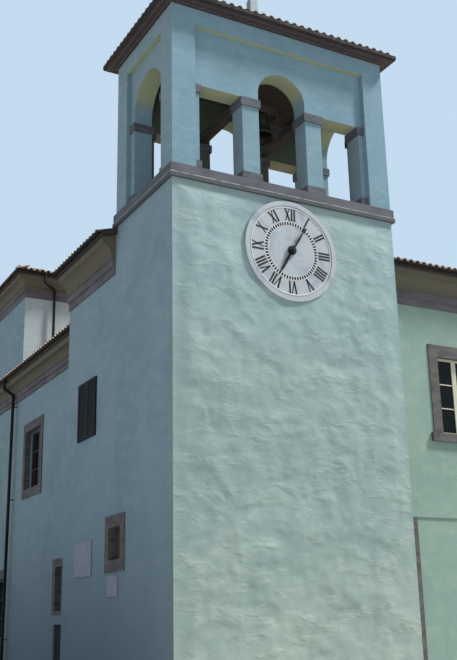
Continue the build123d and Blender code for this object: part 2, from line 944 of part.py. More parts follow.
hour_blade = hand_blade(
    (
        (hour_hub_radius - hub_overlap, hand_root_width),
        (hand_waist, hour_hand_width),
        (hour_hand_shoulder, hour_hand_shoulder_width),
        (hour_hand_length, hour_hand_tip_width),
    )
)
minute_blade = hand_blade(
    (
        (minute_hub_radius - hub_overlap, hand_root_width),
        (hand_waist, minute_hand_width),
        (minute_hand_length - minute_hand_tip, minute_hand_neck_width),
        (minute_hand_length + minute_hand_tip, minute_hand_tip_width),
    )
)
hand_inset = (hub_length - hand_thickness) / 2
with BuildPart() as hour_hand:
    with BuildSketch(hand_plane(hour_hub_y, hour_hand_angle)):
        Circle(hour_hub_radius)
        Circle(arbor_radius + hub_clearance, mode=Mode.SUBTRACT)
    extrude(amount=hub_length)
    with BuildSketch(hand_plane(hour_hub_y - hand_inset, hour_hand_angle)):
        add(hour_blade)
    extrude(amount=hand_thickness)
save(hour_hand.part, "hour_hand")

with BuildPart() as minute_hand:
    with BuildSketch(hand_plane(minute_hub_y, minute_hand_angle)):
        Circle(minute_hub_radius)
        Circle(minute_arbor_radius + hub_clearance, mode=Mode.SUBTRACT)
    extrude(amount=hub_length)
    with BuildSketch(hand_plane(minute_hub_y - hand_inset, minute_hand_angle)):
        add(minute_blade)
        with Locations((0, minute_hand_length)):
            with PolarLocations(0, 2, start_angle=60, angular_range=120):
                SlotOverall(minute_cross_length, minute_cross_width)
    extrude(amount=hand_thickness)
save(minute_hand.part, "minute_hand")


def wall(name, boxes, roof, openings):
    """A rendered wall, or two opposite ones, cut to the underside of the roof and for its openings."""
    with BuildPart() as masonry:
        for corners in boxes:
            block(*corners)
        if roof is not None:
            add(roof, mode=Mode.INTERSECT)
        for opening in openings:
            cut_opening(opening)
    save(masonry.part, name)


# Front range: hipped at both ends, stopped against the tower and cut off plain over the wing
range_box = (left_x - eaves, range_right_x + eaves, range_front_y - eaves, range_back_y + eaves)
range_under = roof_mass(*range_box, range_eaves_height - roof_slab, ALL_SIDES)
range_high = range_eaves_height + blank_above_eaves
wall(
    "range_left_wall",
    [(left_x, left_x + house_wall, tower_back_y, range_back_y, 0, range_high)],
    range_under,
    [shutter_window, niche],
)
with BuildPart() as range_front_wall:
    block(right_x, range_right_x, range_front_y, range_front_y + house_wall, 0, range_high)
    add(range_under, mode=Mode.INTERSECT)
    for opening in range_front_openings:
        cut_opening(opening)
    portal_x = left_x + portal_left
    block(
        portal_x,
        portal_x + portal_width,
        range_front_y,
        range_front_y + portal_recess,
        0,
        portal_height,
        mode=Mode.SUBTRACT,
    )
    for edge in (portal_x, portal_x + portal_width - portal_jamb):
        block(
            edge,
            edge + portal_jamb,
            range_front_y,
            range_front_y + surround_depth,
            0,
            portal_height,
            mode=Mode.SUBTRACT,
        )
save(range_front_wall.part, "range_front_wall")
wall(
    "range_back_wall",
    [(left_x + house_wall, range_right_x, range_back_y - house_wall, range_back_y, 0, range_high)],
    range_under,
    range_back_openings,
)
wall(
    "range_right_wall",
    [
        (
            range_right_x - house_wall,
            range_right_x,
            range_front_y + house_wall,
            range_back_y - house_wall,
            0,
            range_high,
        )
    ],
    range_under,
    [],
)

with BuildPart() as range_roof:
    add(roof_shell(*range_box, range_eaves_height, roof_slab, ALL_SIDES))
    block(
        left_x - 2 * eaves,
        left_x,
        front_y - eaves,
        tower_back_y - roof_verge,
        0,
        range_high,
        mode=Mode.SUBTRACT,
    )
    block(left_x, right_x, front_y - eaves, tower_back_y, 0, range_high, mode=Mode.SUBTRACT)
    block(
        left_x - string_lower_projection,
        right_x + string_lower_projection,
        front_y - eaves,
        tower_back_y + string_lower_projection,
        tower_height,
        range_high,
        mode=Mode.SUBTRACT,
    )
    block(
        left_x - 2 * eaves,
        wing_right_x + eaves,
        range_back_y,
        range_back_y + 2 * eaves,
        0,
        range_high,
        mode=Mode.SUBTRACT,
    )

# The roof comes in flat pieces: its hips and slopes, with the front slope parted beside the tower
range_x0, range_x1, range_y0, range_y1 = range_box
range_ridge_y = (range_y0 + range_y1) / 2
range_ridge_x0 = range_x0 + range_ridge_y - range_y0
range_ridge_x1 = range_x1 - range_ridge_y + range_y0


def roof_piece(name, corners):
    """The part of the range's roof that lies over an outline on plan."""
    with BuildPart() as piece:
        with BuildSketch():
            with BuildLine():
                Polyline(*corners, close=True)
            make_face()
        extrude(amount=range_high)
        add(range_roof.part, mode=Mode.INTERSECT)
    save(piece.part, name)


roof_piece(
    "range_roof_left",
    [(range_x0, range_y0), (range_ridge_x0, range_ridge_y), (range_x0, range_y1)],
)
roof_piece(
    "range_roof_behind_tower",
    [
        (range_x0, range_y0),
        (right_x, range_y0),
        (right_x, range_ridge_y),
        (range_ridge_x0, range_ridge_y),
    ],
)
roof_piece(
    "range_roof_front",
    [
        (right_x, range_y0),
        (range_x1, range_y0),
        (range_ridge_x1, range_ridge_y),
        (right_x, range_ridge_y),
    ],
)
roof_piece(
    "range_roof_right",
    [(range_x1, range_y0), (range_x1, range_y1), (range_ridge_x1, range_ridge_y)],
)
roof_piece(
    "range_roof_back",
    [
        (range_x0, range_y1),
        (range_ridge_x0, range_ridge_y),
        (range_ridge_x1, range_ridge_y),
        (range_x1, range_y1),
    ],
)


def house_cornice_profile(height, band):
    """A house cornice in section: two plain bands, a small step, a cove, and a fascia at the eaves."""
    lower_band_out = 40
    upper_band_out = 80
    step_out = 110
    step_rise = 20
    bands_top = 2 * band - height
    step_z = bands_top + step_rise
    soffit_z = -290
    soffit_out = 320
    edge_out = 350
    cove_middle = (
        soffit_out - (soffit_out - step_out) * math.sqrt(0.5),
        step_z + (soffit_z - step_z) * math.sqrt(0.5),
    )
    with BuildSketch() as section:
        with BuildLine():
            Polyline(
                (0, 0),
                (0, -height),
                (lower_band_out, -height),
                (lower_band_out, band - height),
                (upper_band_out, band - height),
                (upper_band_out, bands_top),
                (step_out, bands_top),
                (step_out, step_z),
            )
            ThreePointArc((step_out, step_z), cove_middle, (soffit_out, soffit_z))
            Polyline(
                (soffit_out, soffit_z),
                (edge_out, soffit_z),
                (edge_out, -roof_slope * edge_out),
                (0, 0),
            )
        make_face()
    return section.sketch


range_profile = house_cornice_profile(range_cornice_height, house_band)
with BuildPart() as range_cornice:
    add(moulding([(left_x, range_back_y), (left_x, tower_back_y)], range_wall_top, range_profile))
    add(
        moulding(
            [
                (right_x, range_front_y),
                (range_right_x, range_front_y),
                (range_right_x, range_back_y),
                (wing_right_x + eaves, range_back_y),
            ],
            range_wall_top,
            range_profile,
        )
    )
save(range_cornice.part, "range_cornice")

# Wing: a lower roof between the range and the rear block
wing_box = (wing_left_x - eaves, wing_right_x + eaves, range_back_y, rear_front_y)
WING_SIDES = ("left", "right")
wing_under = roof_mass(*wing_box, wing_eaves_height - roof_slab, WING_SIDES)
wing_high = wing_eaves_height + blank_above_eaves
wall(
    "wing_left_wall",
    [(wing_left_x, wing_left_x + house_wall, range_back_y, rear_front_y, door_height, wing_high)],
    wing_under,
    wing_left_openings,
)
door_low_y = front_y + door_centre - door_width / 2
door_high_y = door_low_y + door_width
wall(
    "wing_left_wall_foot",
    [
        (wing_left_x, wing_left_x + house_wall, range_back_y, door_low_y, 0, door_height),
        (wing_left_x, wing_left_x + house_wall, door_high_y, rear_front_y, 0, door_height),
    ],
    None,
    wing_left_openings[2:],
)
wall(
    "wing_right_wall",
    [(wing_right_x - house_wall, wing_right_x, range_back_y, rear_front_y, 0, wing_high)],
    wing_under,
    wing_right_openings,
)
wall(
    "wing_end_pier",
    [(wing_left_x + house_wall, rear_left_x, rear_front_y - house_wall, rear_front_y, 0, wing_high)],
    wing_under,
    [],
)
save(roof_shell(*wing_box, wing_eaves_height, roof_slab, WING_SIDES), "wing_roof")
wing_profile = house_cornice_profile(wing_cornice_height, wing_band)
with BuildPart() as wing_cornice:
    for path in (
        [(wing_left_x, rear_front_y), (wing_left_x, range_back_y)],
        [(wing_right_x, range_back_y), (wing_right_x, rear_front_y)],
    ):
        add(moulding(path, wing_wall_top, wing_profile))
save(wing_cornice.part, "wing_cornice")

# Rear block: three storeys under a hipped roof
rear_box = (rear_left_x - eaves, rear_right_x + eaves, rear_front_y - eaves, rear_back_y + eaves)
rear_under = roof_mass(*rear_box, rear_eaves_height - roof_slab, ALL_SIDES)
rear_high = rear_eaves_height + blank_above_eaves
wall(
    "rear_block_long_walls",
    [
        (rear_left_x, rear_right_x, rear_front_y, rear_front_y + house_wall, 0, rear_high),
        (rear_left_x, rear_right_x, rear_back_y - house_wall, rear_back_y, 0, rear_high),
    ],
    rear_under,
    rear_back_openings,
)
wall(
    "rear_block_side_walls",
    [
        (
            rear_left_x,
            rear_left_x + house_wall,
            rear_front_y + house_wall,
            rear_back_y - house_wall,
            0,
            rear_high,
        ),
        (
            rear_right_x - house_wall,
            rear_right_x,
            rear_front_y + house_wall,
            rear_back_y - house_wall,
            0,
            rear_high,
        ),
    ],
    rear_under,
    rear_left_openings + rear_right_openings,
)
save(roof_shell(*rear_box, rear_eaves_height, roof_slab, ALL_SIDES), "rear_block_roof")
rear_outline = rectangle_path(rear_left_x, rear_right_x, rear_front_y, rear_back_y)
rear_profile = house_cornice_profile(rear_cornice_height, house_band)
save(moulding(rear_outline, rear_wall_top, rear_profile), "rear_block_cornice")

# Floors, each filling its storey between the walls
range_inner = (
    left_x + house_wall,
    range_right_x - house_wall,
    range_front_y + house_wall,
    range_back_y - house_wall,
)


def range_floor(low_z, high_z):
    """A floor of the range: behind the tower it is as much shallower as the tower stands in."""
    x0, x1, y0, y1 = range_inner
    block(x0, right_x, tower_back_y, y1, low_z, high_z)
    block(right_x, x1, y0, y1, low_z, high_z)


def wing_floor(low_z, high_z):
    """A floor of the wing, from wall to wall, round the pier at its far end."""
    block(wing_left_x + house_wall, wing_right_x - house_wall, range_back_y, rear_front_y, low_z, high_z)
    block(
        wing_left_x + house_wall,
        rear_left_x,
        rear_front_y - house_wall,
        rear_front_y,
        low_z,
        high_z,
        mode=Mode.SUBTRACT,
    )


def rear_floor(low_z, high_z):
    """A floor of the rear block."""
    block(
        rear_left_x + house_wall,
        rear_right_x - house_wall,
        rear_front_y + house_wall,
        rear_back_y - house_wall,
        low_z,
        high_z,
    )


with BuildPart() as ground_floors:
    range_floor(0, ground_slab)
    wing_floor(0, ground_slab)
    block(wing_left_x, wing_left_x + house_wall, door_low_y, door_high_y, 0, ground_slab)
    rear_floor(0, ground_slab)
    block(
        left_x + tower_wall,
        right_x - tower_wall,
        front_y + tower_wall,
        tower_back_y - tower_wall,
        0,
        ground_slab,
    )
save(ground_floors.part, "ground_floors")

with BuildPart() as upper_floors:
    range_floor(range_floor_level - upper_slab, range_floor_level)
    wing_floor(wing_floor_level - upper_slab, wing_floor_level)
    rear_floor(wing_floor_level - upper_slab, wing_floor_level)
    rear_floor(rear_top_floor_level - upper_slab, rear_top_floor_level)
save(upper_floors.part, "upper_floors")

# Joinery and stone of the windows
with BuildPart() as stone_surrounds:
    for opening in glazed_openings + [niche]:
        add(stone_surround(opening))
    for edge in (portal_x, portal_x + portal_width - portal_jamb):
        block(
            edge,
            edge + portal_jamb,
            range_front_y - portal_projection,
            range_front_y + surround_depth,
            0,
            portal_height,
        )
save(stone_surrounds.part, "stone_surrounds")

with BuildPart() as window_frames:
    for opening in glazed_openings + [shutter_window]:
        add(window_frame(opening))
save(window_frames.part, "window_frames")

with BuildPart() as window_glass:
    for opening in glazed_openings + [shutter_window]:
        add(window_panes(opening))
save(window_glass.part, "window_glass")

# Shutters: two closed leaves on the face of the wall, framed round a thin louvre panel
leaf_width = shutter_width / 2 - shutter_gap
with BuildPart() as window_shutters:
    with BuildSketch(face_plane(shutter_window)):
        with Locations((0, shutter_window.height / 2)):
            with GridLocations(shutter_width / 2, 0, 2, 1):
                Rectangle(leaf_width, shutter_height)
                Rectangle(
                    leaf_width - 2 * shutter_rail,
                    shutter_height - 2 * shutter_rail,
                    mode=Mode.SUBTRACT,
                )
    extrude(amount=shutter_thickness)
    with BuildSketch(face_plane(shutter_window).offset(shutter_thickness / 3)):
        with Locations((0, shutter_window.height / 2)):
            with GridLocations(shutter_width / 2, 0, 2, 1):
                Rectangle(leaf_width - 2 * shutter_rail, shutter_height - 2 * shutter_rail)
    extrude(amount=shutter_thickness / 3)
save(window_shutters.part, "window_shutters")

# Service door, hung behind its leaf on two pintles in the near jamb; it opens into the wing
leaf_back = wing_left_x + door_leaf_setback
hinge_x = leaf_back + knuckle_radius
hinge_y = door_low_y + door_gap + knuckle_radius
knuckle_levels = (ground_slab + 200, door_height - 300)
with BuildPart() as service_door:
    block(
        leaf_back - door_thickness,
        leaf_back,
        door_low_y + door_gap,
        door_high_y - door_latch_gap,
        ground_slab + door_gap,
        door_height - door_gap,
    )
    for level in knuckle_levels:
        with BuildSketch(Plane.XY.offset(level)) as knuckle:
            with Locations((hinge_x, hinge_y)):
                Circle(knuckle_radius)
            with Locations((hinge_x - knuckle_radius / 2, hinge_y)):
                Rectangle(knuckle_radius, 2 * knuckle_radius)
            with Locations((hinge_x, hinge_y)):
                Circle(pintle_radius + pin_clearance, mode=Mode.SUBTRACT)
        extrude(knuckle.sketch, amount=knuckle_height)
save(service_door.part, "service_door")

with BuildPart() as door_pintles:
    for level in knuckle_levels:
        with BuildSketch(Plane.XY.offset(level - pintle_reach)):
            with Locations((hinge_x, hinge_y)):
                Circle(pintle_radius)
        extrude(amount=knuckle_height + pintle_reach)
        block(
            hinge_x - pintle_radius,
            hinge_x + pintle_radius,
            door_low_y,
            hinge_y + pintle_radius,
            level - pintle_reach,
            level - door_gap,
        )
save(door_pintles.part, "door_pintles")

# Two blank stone plaques on the left face, each by its centre back from the tower's front, its lower
# edge, its width and its height
with BuildPart() as wall_plaques:
    for centre, level, width, height in plaques:
        with BuildSketch(Plane.YZ.offset(left_x)):
            with Locations((front_y + centre, level + height / 2)):
                Rectangle(width, height)
        extrude(amount=-plaque_thickness)
save(wall_plaques.part, "wall_plaques")

# Gutters along the eaves, half round, and a flat metal strip round the tower roof's edge
def gutter(points, edge_z):
    """A half-round gutter hung against the upright edge of a roof."""
    with BuildSketch() as section:
        with Locations((gutter_radius, -gutter_drop)):
            Circle(gutter_radius)
            Circle(gutter_radius - gutter_sheet, mode=Mode.SUBTRACT)
        with Locations((gutter_radius, gutter_radius - gutter_drop)):
            Rectangle(2 * gutter_radius, 2 * gutter_radius, mode=Mode.SUBTRACT)
    return moulding(points, edge_z, section.sketch)


with BuildPart() as gutters:
    add(
        gutter(
            [(left_x - eaves, range_back_y), (left_x - eaves, tower_back_y - roof_verge)],
            range_eaves_height,
        )
    )
    add(
        gutter(
            [
                (right_x, range_front_y - eaves),
                (range_right_x + eaves, range_front_y - eaves),
                (range_right_x + eaves, range_back_y + eaves),
                (wing_right_x + eaves, range_back_y + eaves),
            ],
            range_eaves_height,
        )
    )
    for path in (
        [(wing_left_x - eaves, rear_front_y), (wing_left_x - eaves, range_back_y)],
        [(wing_right_x + eaves, range_back_y), (wing_right_x + eaves, rear_front_y - eaves)],
    ):
        add(gutter(path, wing_eaves_height))
    rear_gutter = rectangle_path(*rear_box)
    add(gutter(rear_gutter, rear_eaves_height))
    with BuildSketch(mode=Mode.PRIVATE) as strip:
        with Locations((edge_strip / 2, (edge_strip_above - edge_strip_below) / 2)):
            Rectangle(edge_strip, edge_strip_above + edge_strip_below)
    add(moulding(rectangle_path(*tower_roof_box), tower_roof_edge, strip.sketch))
save(gutters.part, "gutters")


def downpipe(points):
    """A round pipe along a path of straight lengths, mitred where it bends."""
    start = Vector(*points[0])
    with BuildPart() as tube:
        with BuildLine() as path:
            Polyline(*points)
        with BuildSketch(Plane(origin=start, z_dir=Vector(*points[1]) - start)):
            Circle(pipe_radius)
            Circle(pipe_radius - pipe_sheet, mode=Mode.SUBTRACT)
        sweep(path=path.wires()[0], transition=Transition.RIGHT)
    return tube.part


# Downpipes: each saddled on the underside of its gutter, bent back under the cornice and held to the
# wall by brackets
rear_gutter_y = rear_front_y - eaves - gutter_radius
rear_gutter_z = rear_eaves_height - gutter_drop
rear_pipe_x = left_x + rear_pipe
rear_pipe_y = rear_front_y - pipe_standoff
rear_pipe_foot = wing_eaves_height + roof_slope * (rear_pipe_x - wing_box[0]) + pipe_above_roof
wing_gutter_x = wing_left_x - eaves - gutter_radius
wing_gutter_z = wing_eaves_height - gutter_drop
wing_pipe_x = wing_left_x - pipe_standoff
wing_pipe_y = front_y + wing_pipe
bracket_start = pipe_radius - pipe_sheet
with BuildPart() as downpipes:
    add(
        downpipe(
            [
                (left_x + rear_outlet, rear_gutter_y, rear_gutter_z),
                (left_x + rear_outlet, rear_gutter_y, rear_eaves_height - rear_swan_top),
                (rear_pipe_x, rear_pipe_y, rear_eaves_height - rear_swan_bottom),
                (rear_pipe_x, rear_pipe_y, rear_pipe_foot),
            ]
        )
    )
    with BuildSketch(Plane.YZ.offset(left_x + rear_outlet)):
        with Locations((rear_gutter_y, rear_gutter_z)):
            Circle(gutter_radius)
    extrude(amount=2 * pipe_radius, both=True, mode=Mode.SUBTRACT)
    for level in (rear_pipe_foot + 3 * pipe_standoff, rear_wall_top - rear_cornice_height - pipe_standoff):
        block(
            rear_pipe_x - pipe_bracket / 2,
            rear_pipe_x + pipe_bracket / 2,
            rear_pipe_y + bracket_start,
            rear_front_y,
            level,
            level + pipe_bracket,
        )
    add(
        downpipe(
            [
                (wing_gutter_x, wing_pipe_y, wing_gutter_z),
                (wing_gutter_x, wing_pipe_y, wing_eaves_height - wing_swan_top),
                (wing_pipe_x, wing_pipe_y, wing_eaves_height - wing_swan_bottom),
                (wing_pipe_x, wing_pipe_y, pipe_foot),
            ]
        )
    )
    with BuildSketch(Plane.XZ.offset(-wing_pipe_y)):
        with Locations((wing_gutter_x, wing_gutter_z)):
            Circle(gutter_radius)
    extrude(amount=2 * pipe_radius, both=True, mode=Mode.SUBTRACT)
    for level in (range_floor_level / 4, range_floor_level, wing_wall_top - wing_cornice_height - pipe_standoff):
        block(
            wing_pipe_x + bracket_start,
            wing_left_x,
            wing_pipe_y - pipe_bracket / 2,
            wing_pipe_y + pipe_bracket / 2,
            level,
            level + pipe_bracket,
        )
save(downpipes.part, "downpipes")
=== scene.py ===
import math

import bmesh
import bpy
from mathutils import Matrix, Vector


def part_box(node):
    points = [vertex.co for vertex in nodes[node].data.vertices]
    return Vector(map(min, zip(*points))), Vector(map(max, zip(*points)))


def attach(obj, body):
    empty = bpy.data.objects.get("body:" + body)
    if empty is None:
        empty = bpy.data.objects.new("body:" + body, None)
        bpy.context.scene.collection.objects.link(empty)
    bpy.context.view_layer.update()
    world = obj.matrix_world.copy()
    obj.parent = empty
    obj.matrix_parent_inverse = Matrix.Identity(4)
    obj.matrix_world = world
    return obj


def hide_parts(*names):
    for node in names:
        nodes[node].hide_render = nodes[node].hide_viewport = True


# The villa's frame, in metres: +Z is up, the clock faces -Y, and the origin is on the ground under it
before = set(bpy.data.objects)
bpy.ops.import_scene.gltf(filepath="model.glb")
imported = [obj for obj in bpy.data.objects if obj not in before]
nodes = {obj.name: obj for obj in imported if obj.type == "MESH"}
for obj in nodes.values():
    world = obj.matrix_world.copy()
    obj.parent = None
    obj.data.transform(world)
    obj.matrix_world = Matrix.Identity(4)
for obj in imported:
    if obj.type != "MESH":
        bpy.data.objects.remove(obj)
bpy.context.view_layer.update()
scene = bpy.context.scene
scene.view_settings.view_transform = "Standard"


# Nodes, materials and objects
# Short ways to make what the sections below share.
FLOAT = "NodeSocketFloat"
COLOR = "NodeSocketColor"
VECTOR = "NodeSocketVector"
GEOMETRY = "NodeSocketGeometry"
FINISH = {"Color": COLOR, "Roughness": FLOAT, "Height": FLOAT}
SHAPE = {"Geometry": GEOMETRY}


def connect(tree, node, values):
    """Links each value that is a socket to the input of its name, and sets every other value."""
    for name, value in values.items():
        if isinstance(value, bpy.types.NodeSocket):
            tree.links.new(value, node.inputs[name])
        else:
            node.inputs[name].default_value = value


def put(tree, kind, sockets=None, **settings):
    """Adds a node with its settings and the values of its inputs."""
    node = tree.nodes.new(kind)
    for name, value in settings.items():
        setattr(node, name, value)
    connect(tree, node, sockets or {})
    return node


def new_group(name, kind, inputs, outputs):
    """A node group with its inputs and outputs as {name: kind of socket}. Returns the group, the
    sockets that it is given and the node that takes its results."""
    group = bpy.data.node_groups.new(name, kind)
    for side, sockets in (("INPUT", inputs), ("OUTPUT", outputs)):
        for label, socket_kind in sockets.items():
            group.interface.new_socket(name=label, in_out=side, socket_type=socket_kind)
    return group, group.nodes.new("NodeGroupInput").outputs, group.nodes.new("NodeGroupOutput")


def calc(tree, operation, first, second=0):
    """One sum on two numbers or sockets."""
    return put(tree, "ShaderNodeMath", {0: first, 1: second}, operation=operation).outputs[0]


def vector_calc(tree, operation, first, second, result="Vector"):
    """One sum on two vectors."""
    sockets = {0: first, 1: second}
    return put(tree, "ShaderNodeVectorMath", sockets, operation=operation).outputs[result]


def stretched(tree, scale=(1, 1, 1)):
    """Object coordinates squeezed by a scale along each axis, so that a pattern stretches."""
    place = put(tree, "ShaderNodeTexCoord").outputs["Object"]
    return put(tree, "ShaderNodeMapping", {"Vector": place, "Scale": scale}).outputs["Vector"]


def at_point(tree, what, axis):
    """One axis of the Position or the Normal at the point that is shaded."""
    found = put(tree, "ShaderNodeNewGeometry").outputs[what]
    return put(tree, "ShaderNodeSeparateXYZ", {0: found}).outputs[axis]


def cloud(tree, vector, scale, detail=4.0, roughness=0.55, distortion=0.0):
    """Soft noise from 0 to 1, finer with more detail and drawn out by distortion."""
    sockets = {"Vector": vector, "Scale": scale, "Detail": detail, "Roughness": roughness}
    return put(tree, "ShaderNodeTexNoise", {**sockets, "Distortion": distortion}).outputs["Fac"]


def spread(tree, value, low, high, out_low=0.0, out_high=1.0, kind="SMOOTHSTEP"):
    """Stretches the values between low and high over a new range."""
    sockets = {
        "Value": value,
        "From Min": low,
        "From Max": high,
        "To Min": out_low,
        "To Max": out_high,
    }
    node = put(tree, "ShaderNodeMapRange", sockets, interpolation_type=kind, clamp=True)
    return node.outputs["Result"]


def blend_color(tree, factor, first, second, kind="MIX"):
    """Two colours mixed by a factor."""
    node = put(tree, "ShaderNodeMix", data_type="RGBA", blend_type=kind)
    number = {item.identifier: index for index, item in enumerate(node.inputs)}
    chosen = (number["Factor_Float"], number["A_Color"], number["B_Color"])
    connect(tree, node, dict(zip(chosen, (factor, first, second))))
    return next(item for item in node.outputs if item.identifier == "Result_Color")


def paint(red, green, blue):
    """A colour as read off a paint card, from 0 to 255, turned into the renderer's own numbers."""
    shares = (value / 255 for value in (red, green, blue))
    return (*(s / 12.92 if s <= 0.04045 else ((s + 0.055) / 1.055) ** 2.4 for s in shares), 1)


def new_material(name):
    """A new material and its node tree."""
    material = bpy.data.materials.new(name)
    material.use_nodes = True
    return material, material.node_tree


def feed(material, color, roughness, height=None, relief=0.0, specular=0.5, metallic=0.0):
    """Feeds a material's shader. A height becomes a bump, whose relief is a depth."""
    tree = material.node_tree
    values = {
        "Base Color": color,
        "Roughness": roughness,
        "Specular IOR Level": specular,
        "Metallic": metallic,
    }
    if height is not None:
        bump = put(tree, "ShaderNodeBump", {"Height": height, "Distance": relief})
        values["Normal"] = bump.outputs["Normal"]
    connect(tree, tree.nodes["Principled BSDF"], values)
    return material


def grouped(tree, group, sockets):
    """Places a node group with its own values, and returns its results."""
    return put(tree, "ShaderNodeGroup", sockets, node_tree=group).outputs


def surface(name, group, sockets, relief, specular=0.3):
    """A material whose colour, roughness and relief come from one group."""
    material, tree = new_material(name)
    made = grouped(tree, group, sockets)
    return feed(material, made["Color"], made["Roughness"], made["Height"], relief, specular)


def open_color(material):
    """A finished material's tree, the socket that colours it, and the input that takes the colour."""
    tree = material.node_tree
    base = tree.nodes["Principled BSDF"].inputs["Base Color"]
    return tree, base.links[0].from_socket, base


def add_object(name, data):
    """Links a new object to the scene."""
    made = bpy.data.objects.new(name, data)
    scene.collection.objects.link(made)
    return made


def new_piece(name, shape):
    """Turns a bmesh into an object of the scene."""
    mesh = bpy.data.meshes.new(name)
    shape.to_mesh(mesh)
    shape.free()
    return add_object(name, mesh)


def dress(material, *names):
    """Gives CAD nodes one material."""
    for name in names:
        mesh = nodes[name].data
        mesh.materials.clear()
        mesh.materials.append(material)


# Camera
# It stands at eye height on the ground, to the left of the tower, and looks up at its front corner.
eye = Vector((-11.33, -17.90, 1.60))
heading = math.radians(28.77)
climb = math.radians(17.10)
roll = math.radians(-1.19)
focal_pixels = 972.8
image_height_pixels = 660
sensor_mm = 36.0
far_clip = 300
ahead = Vector(
    (math.sin(heading) * math.cos(climb), math.cos(heading) * math.cos(climb), math.sin(climb))
)
level_right = Vector((math.cos(heading), -math.sin(heading), 0))
level_up = level_right.cross(ahead)
camera_right = math.cos(roll) * level_right + math.sin(roll) * level_up
camera_up = math.cos(roll) * level_up - math.sin(roll) * level_right
camera = add_object("camera", bpy.data.cameras.new("camera"))
camera.data.sensor_width = sensor_mm
camera.data.lens = focal_pixels / image_height_pixels * sensor_mm
camera.data.clip_end = far_clip
camera.matrix_world = (
    Matrix.Translation(eye) @ Matrix((camera_right, camera_up, -ahead)).transposed().to_4x4()
)
scene.camera = camera


# Floor, backdrop and light
# A wide pale floor, a pale backdrop that lights nothing, and one broad key light from the upper right
# over a cool, even fill.
floor_color = paint(196, 196, 193)
backdrop_color = paint(196, 219, 240)
fill_color = (0.34, 0.40, 0.46, 1)
key_from = Vector((0.55, -0.26, 0.79))
key_strength = 5.2
key_softness = math.radians(9)
key_color = (1.0, 0.97, 0.92)
floor_reach = 400

floor_material = feed(new_material("studio_floor")[0], floor_color, roughness=0.9)
floor_shape = bmesh.new()
bmesh.ops.create_grid(floor_shape, x_segments=1, y_segments=1, size=floor_reach)
studio_floor = new_piece("studio_floor", floor_shape)
studio_floor.data.materials.append(floor_material)

world = bpy.data.worlds.new("studio")
world.use_nodes = True
scene.world = world
sky = world.node_tree
sky.nodes.clear()
rays = put(sky, "ShaderNodeLightPath").outputs
seen = calc(sky, "MAXIMUM", rays["Is Camera Ray"], rays["Is Transmission Ray"])
mirrored = calc(sky, "MAXIMUM", seen, rays["Is Glossy Ray"])
fill = put(sky, "ShaderNodeBackground", {"Color": fill_color, "Strength": 1.0}).outputs[0]
backdrop = put(sky, "ShaderNodeBackground", {"Color": backdrop_color, "Strength": 1.0}).outputs[0]
both = put(sky, "ShaderNodeMixShader", {0: mirrored, 1: fill, 2: backdrop}).outputs[0]
put(sky, "ShaderNodeOutputWorld", {"Surface": both})

key_light = add_object("key_light", bpy.data.lights.new("key_light", "SUN"))
key_light.data.energy = key_strength
key_light.data.angle = key_softness
key_light.data.color = key_color
key_light.rotation_euler = key_from.to_track_quat("Z", "Y").to_euler()


# Tower and house walls
# Rubble masonry under lime render in pale green. The tower's front was floated by hand and stands
# uneven; the house was rendered later and lies flatter.
rain_tone = (0.16, 0.19, 0.18, 1)
sand_tone = (0.12, 0.14, 0.13, 1)
lime, given, out = new_group(
    "lime_render",
    "ShaderNodeTree",
    {
        "Base": COLOR,
        "Shade": COLOR,
        "Bloom": COLOR,
        "Patch Scale": FLOAT,
        "Trowel Scale": FLOAT,
        "Streaks": FLOAT,
        "Creases": FLOAT,
    },
    FINISH,
)

# Cooler patches of the shade tone lie under a pale painted highlight on the raised marks of the trowel,
# then streaks of rain and sand grains
flat_place = stretched(lime)
swept_place = stretched(lime, (1, 1, 2.1))
rain_place = stretched(lime, (2.6, 2.6, 0.16))
patches = cloud(lime, flat_place, given["Patch Scale"], 5, 0.6, 0.6)
trowel = cloud(lime, swept_place, given["Trowel Scale"], 5, 0.55, 0.35)
sand = cloud(lime, flat_place, 60, 2, 0.6)
rain = cloud(lime, rain_place, 1.0, 3, 0.5)
shaded = blend_color(lime, spread(lime, patches, 0.38, 0.66), given["Base"], given["Shade"])
highlight_mask = spread(lime, trowel, 0.44, 0.72, 0.0, 0.7)
highlighted = blend_color(lime, highlight_mask, shaded, given["Bloom"])
streaks = calc(lime, "MULTIPLY", spread(lime, rain, 0.52, 0.75), given["Streaks"])
streaked = blend_color(lime, streaks, highlighted, rain_tone)
sanded = blend_color(lime, spread(lime, sand, 0.3, 0.7, 0.0, 0.10), streaked, sand_tone)

# The float left folds here and there, between the marks of the trowel and the grains of sand
hollows = calc(lime, "MULTIPLY", trowel, 0.8)
grains = calc(lime, "MULTIPLY", sand, 0.06)
folded = cloud(lime, swept_place, 1.2, 4, 0.55, 0.3)
from_fold = calc(lime, "ABSOLUTE", calc(lime, "SUBTRACT", folded, 0.5))
here = calc(lime, "MULTIPLY", spread(lime, trowel, 0.48, 0.66), given["Creases"])
creases = calc(lime, "MULTIPLY", spread(lime, from_fold, 0, 0.10), here)
worked = calc(lime, "ADD", hollows, creases)
results = {
    "Color": sanded,
    "Roughness": spread(lime, patches, 0.2, 0.8, 0.86, 0.97),
    "Height": calc(lime, "ADD", worked, grains),
}
connect(lime, out, results)

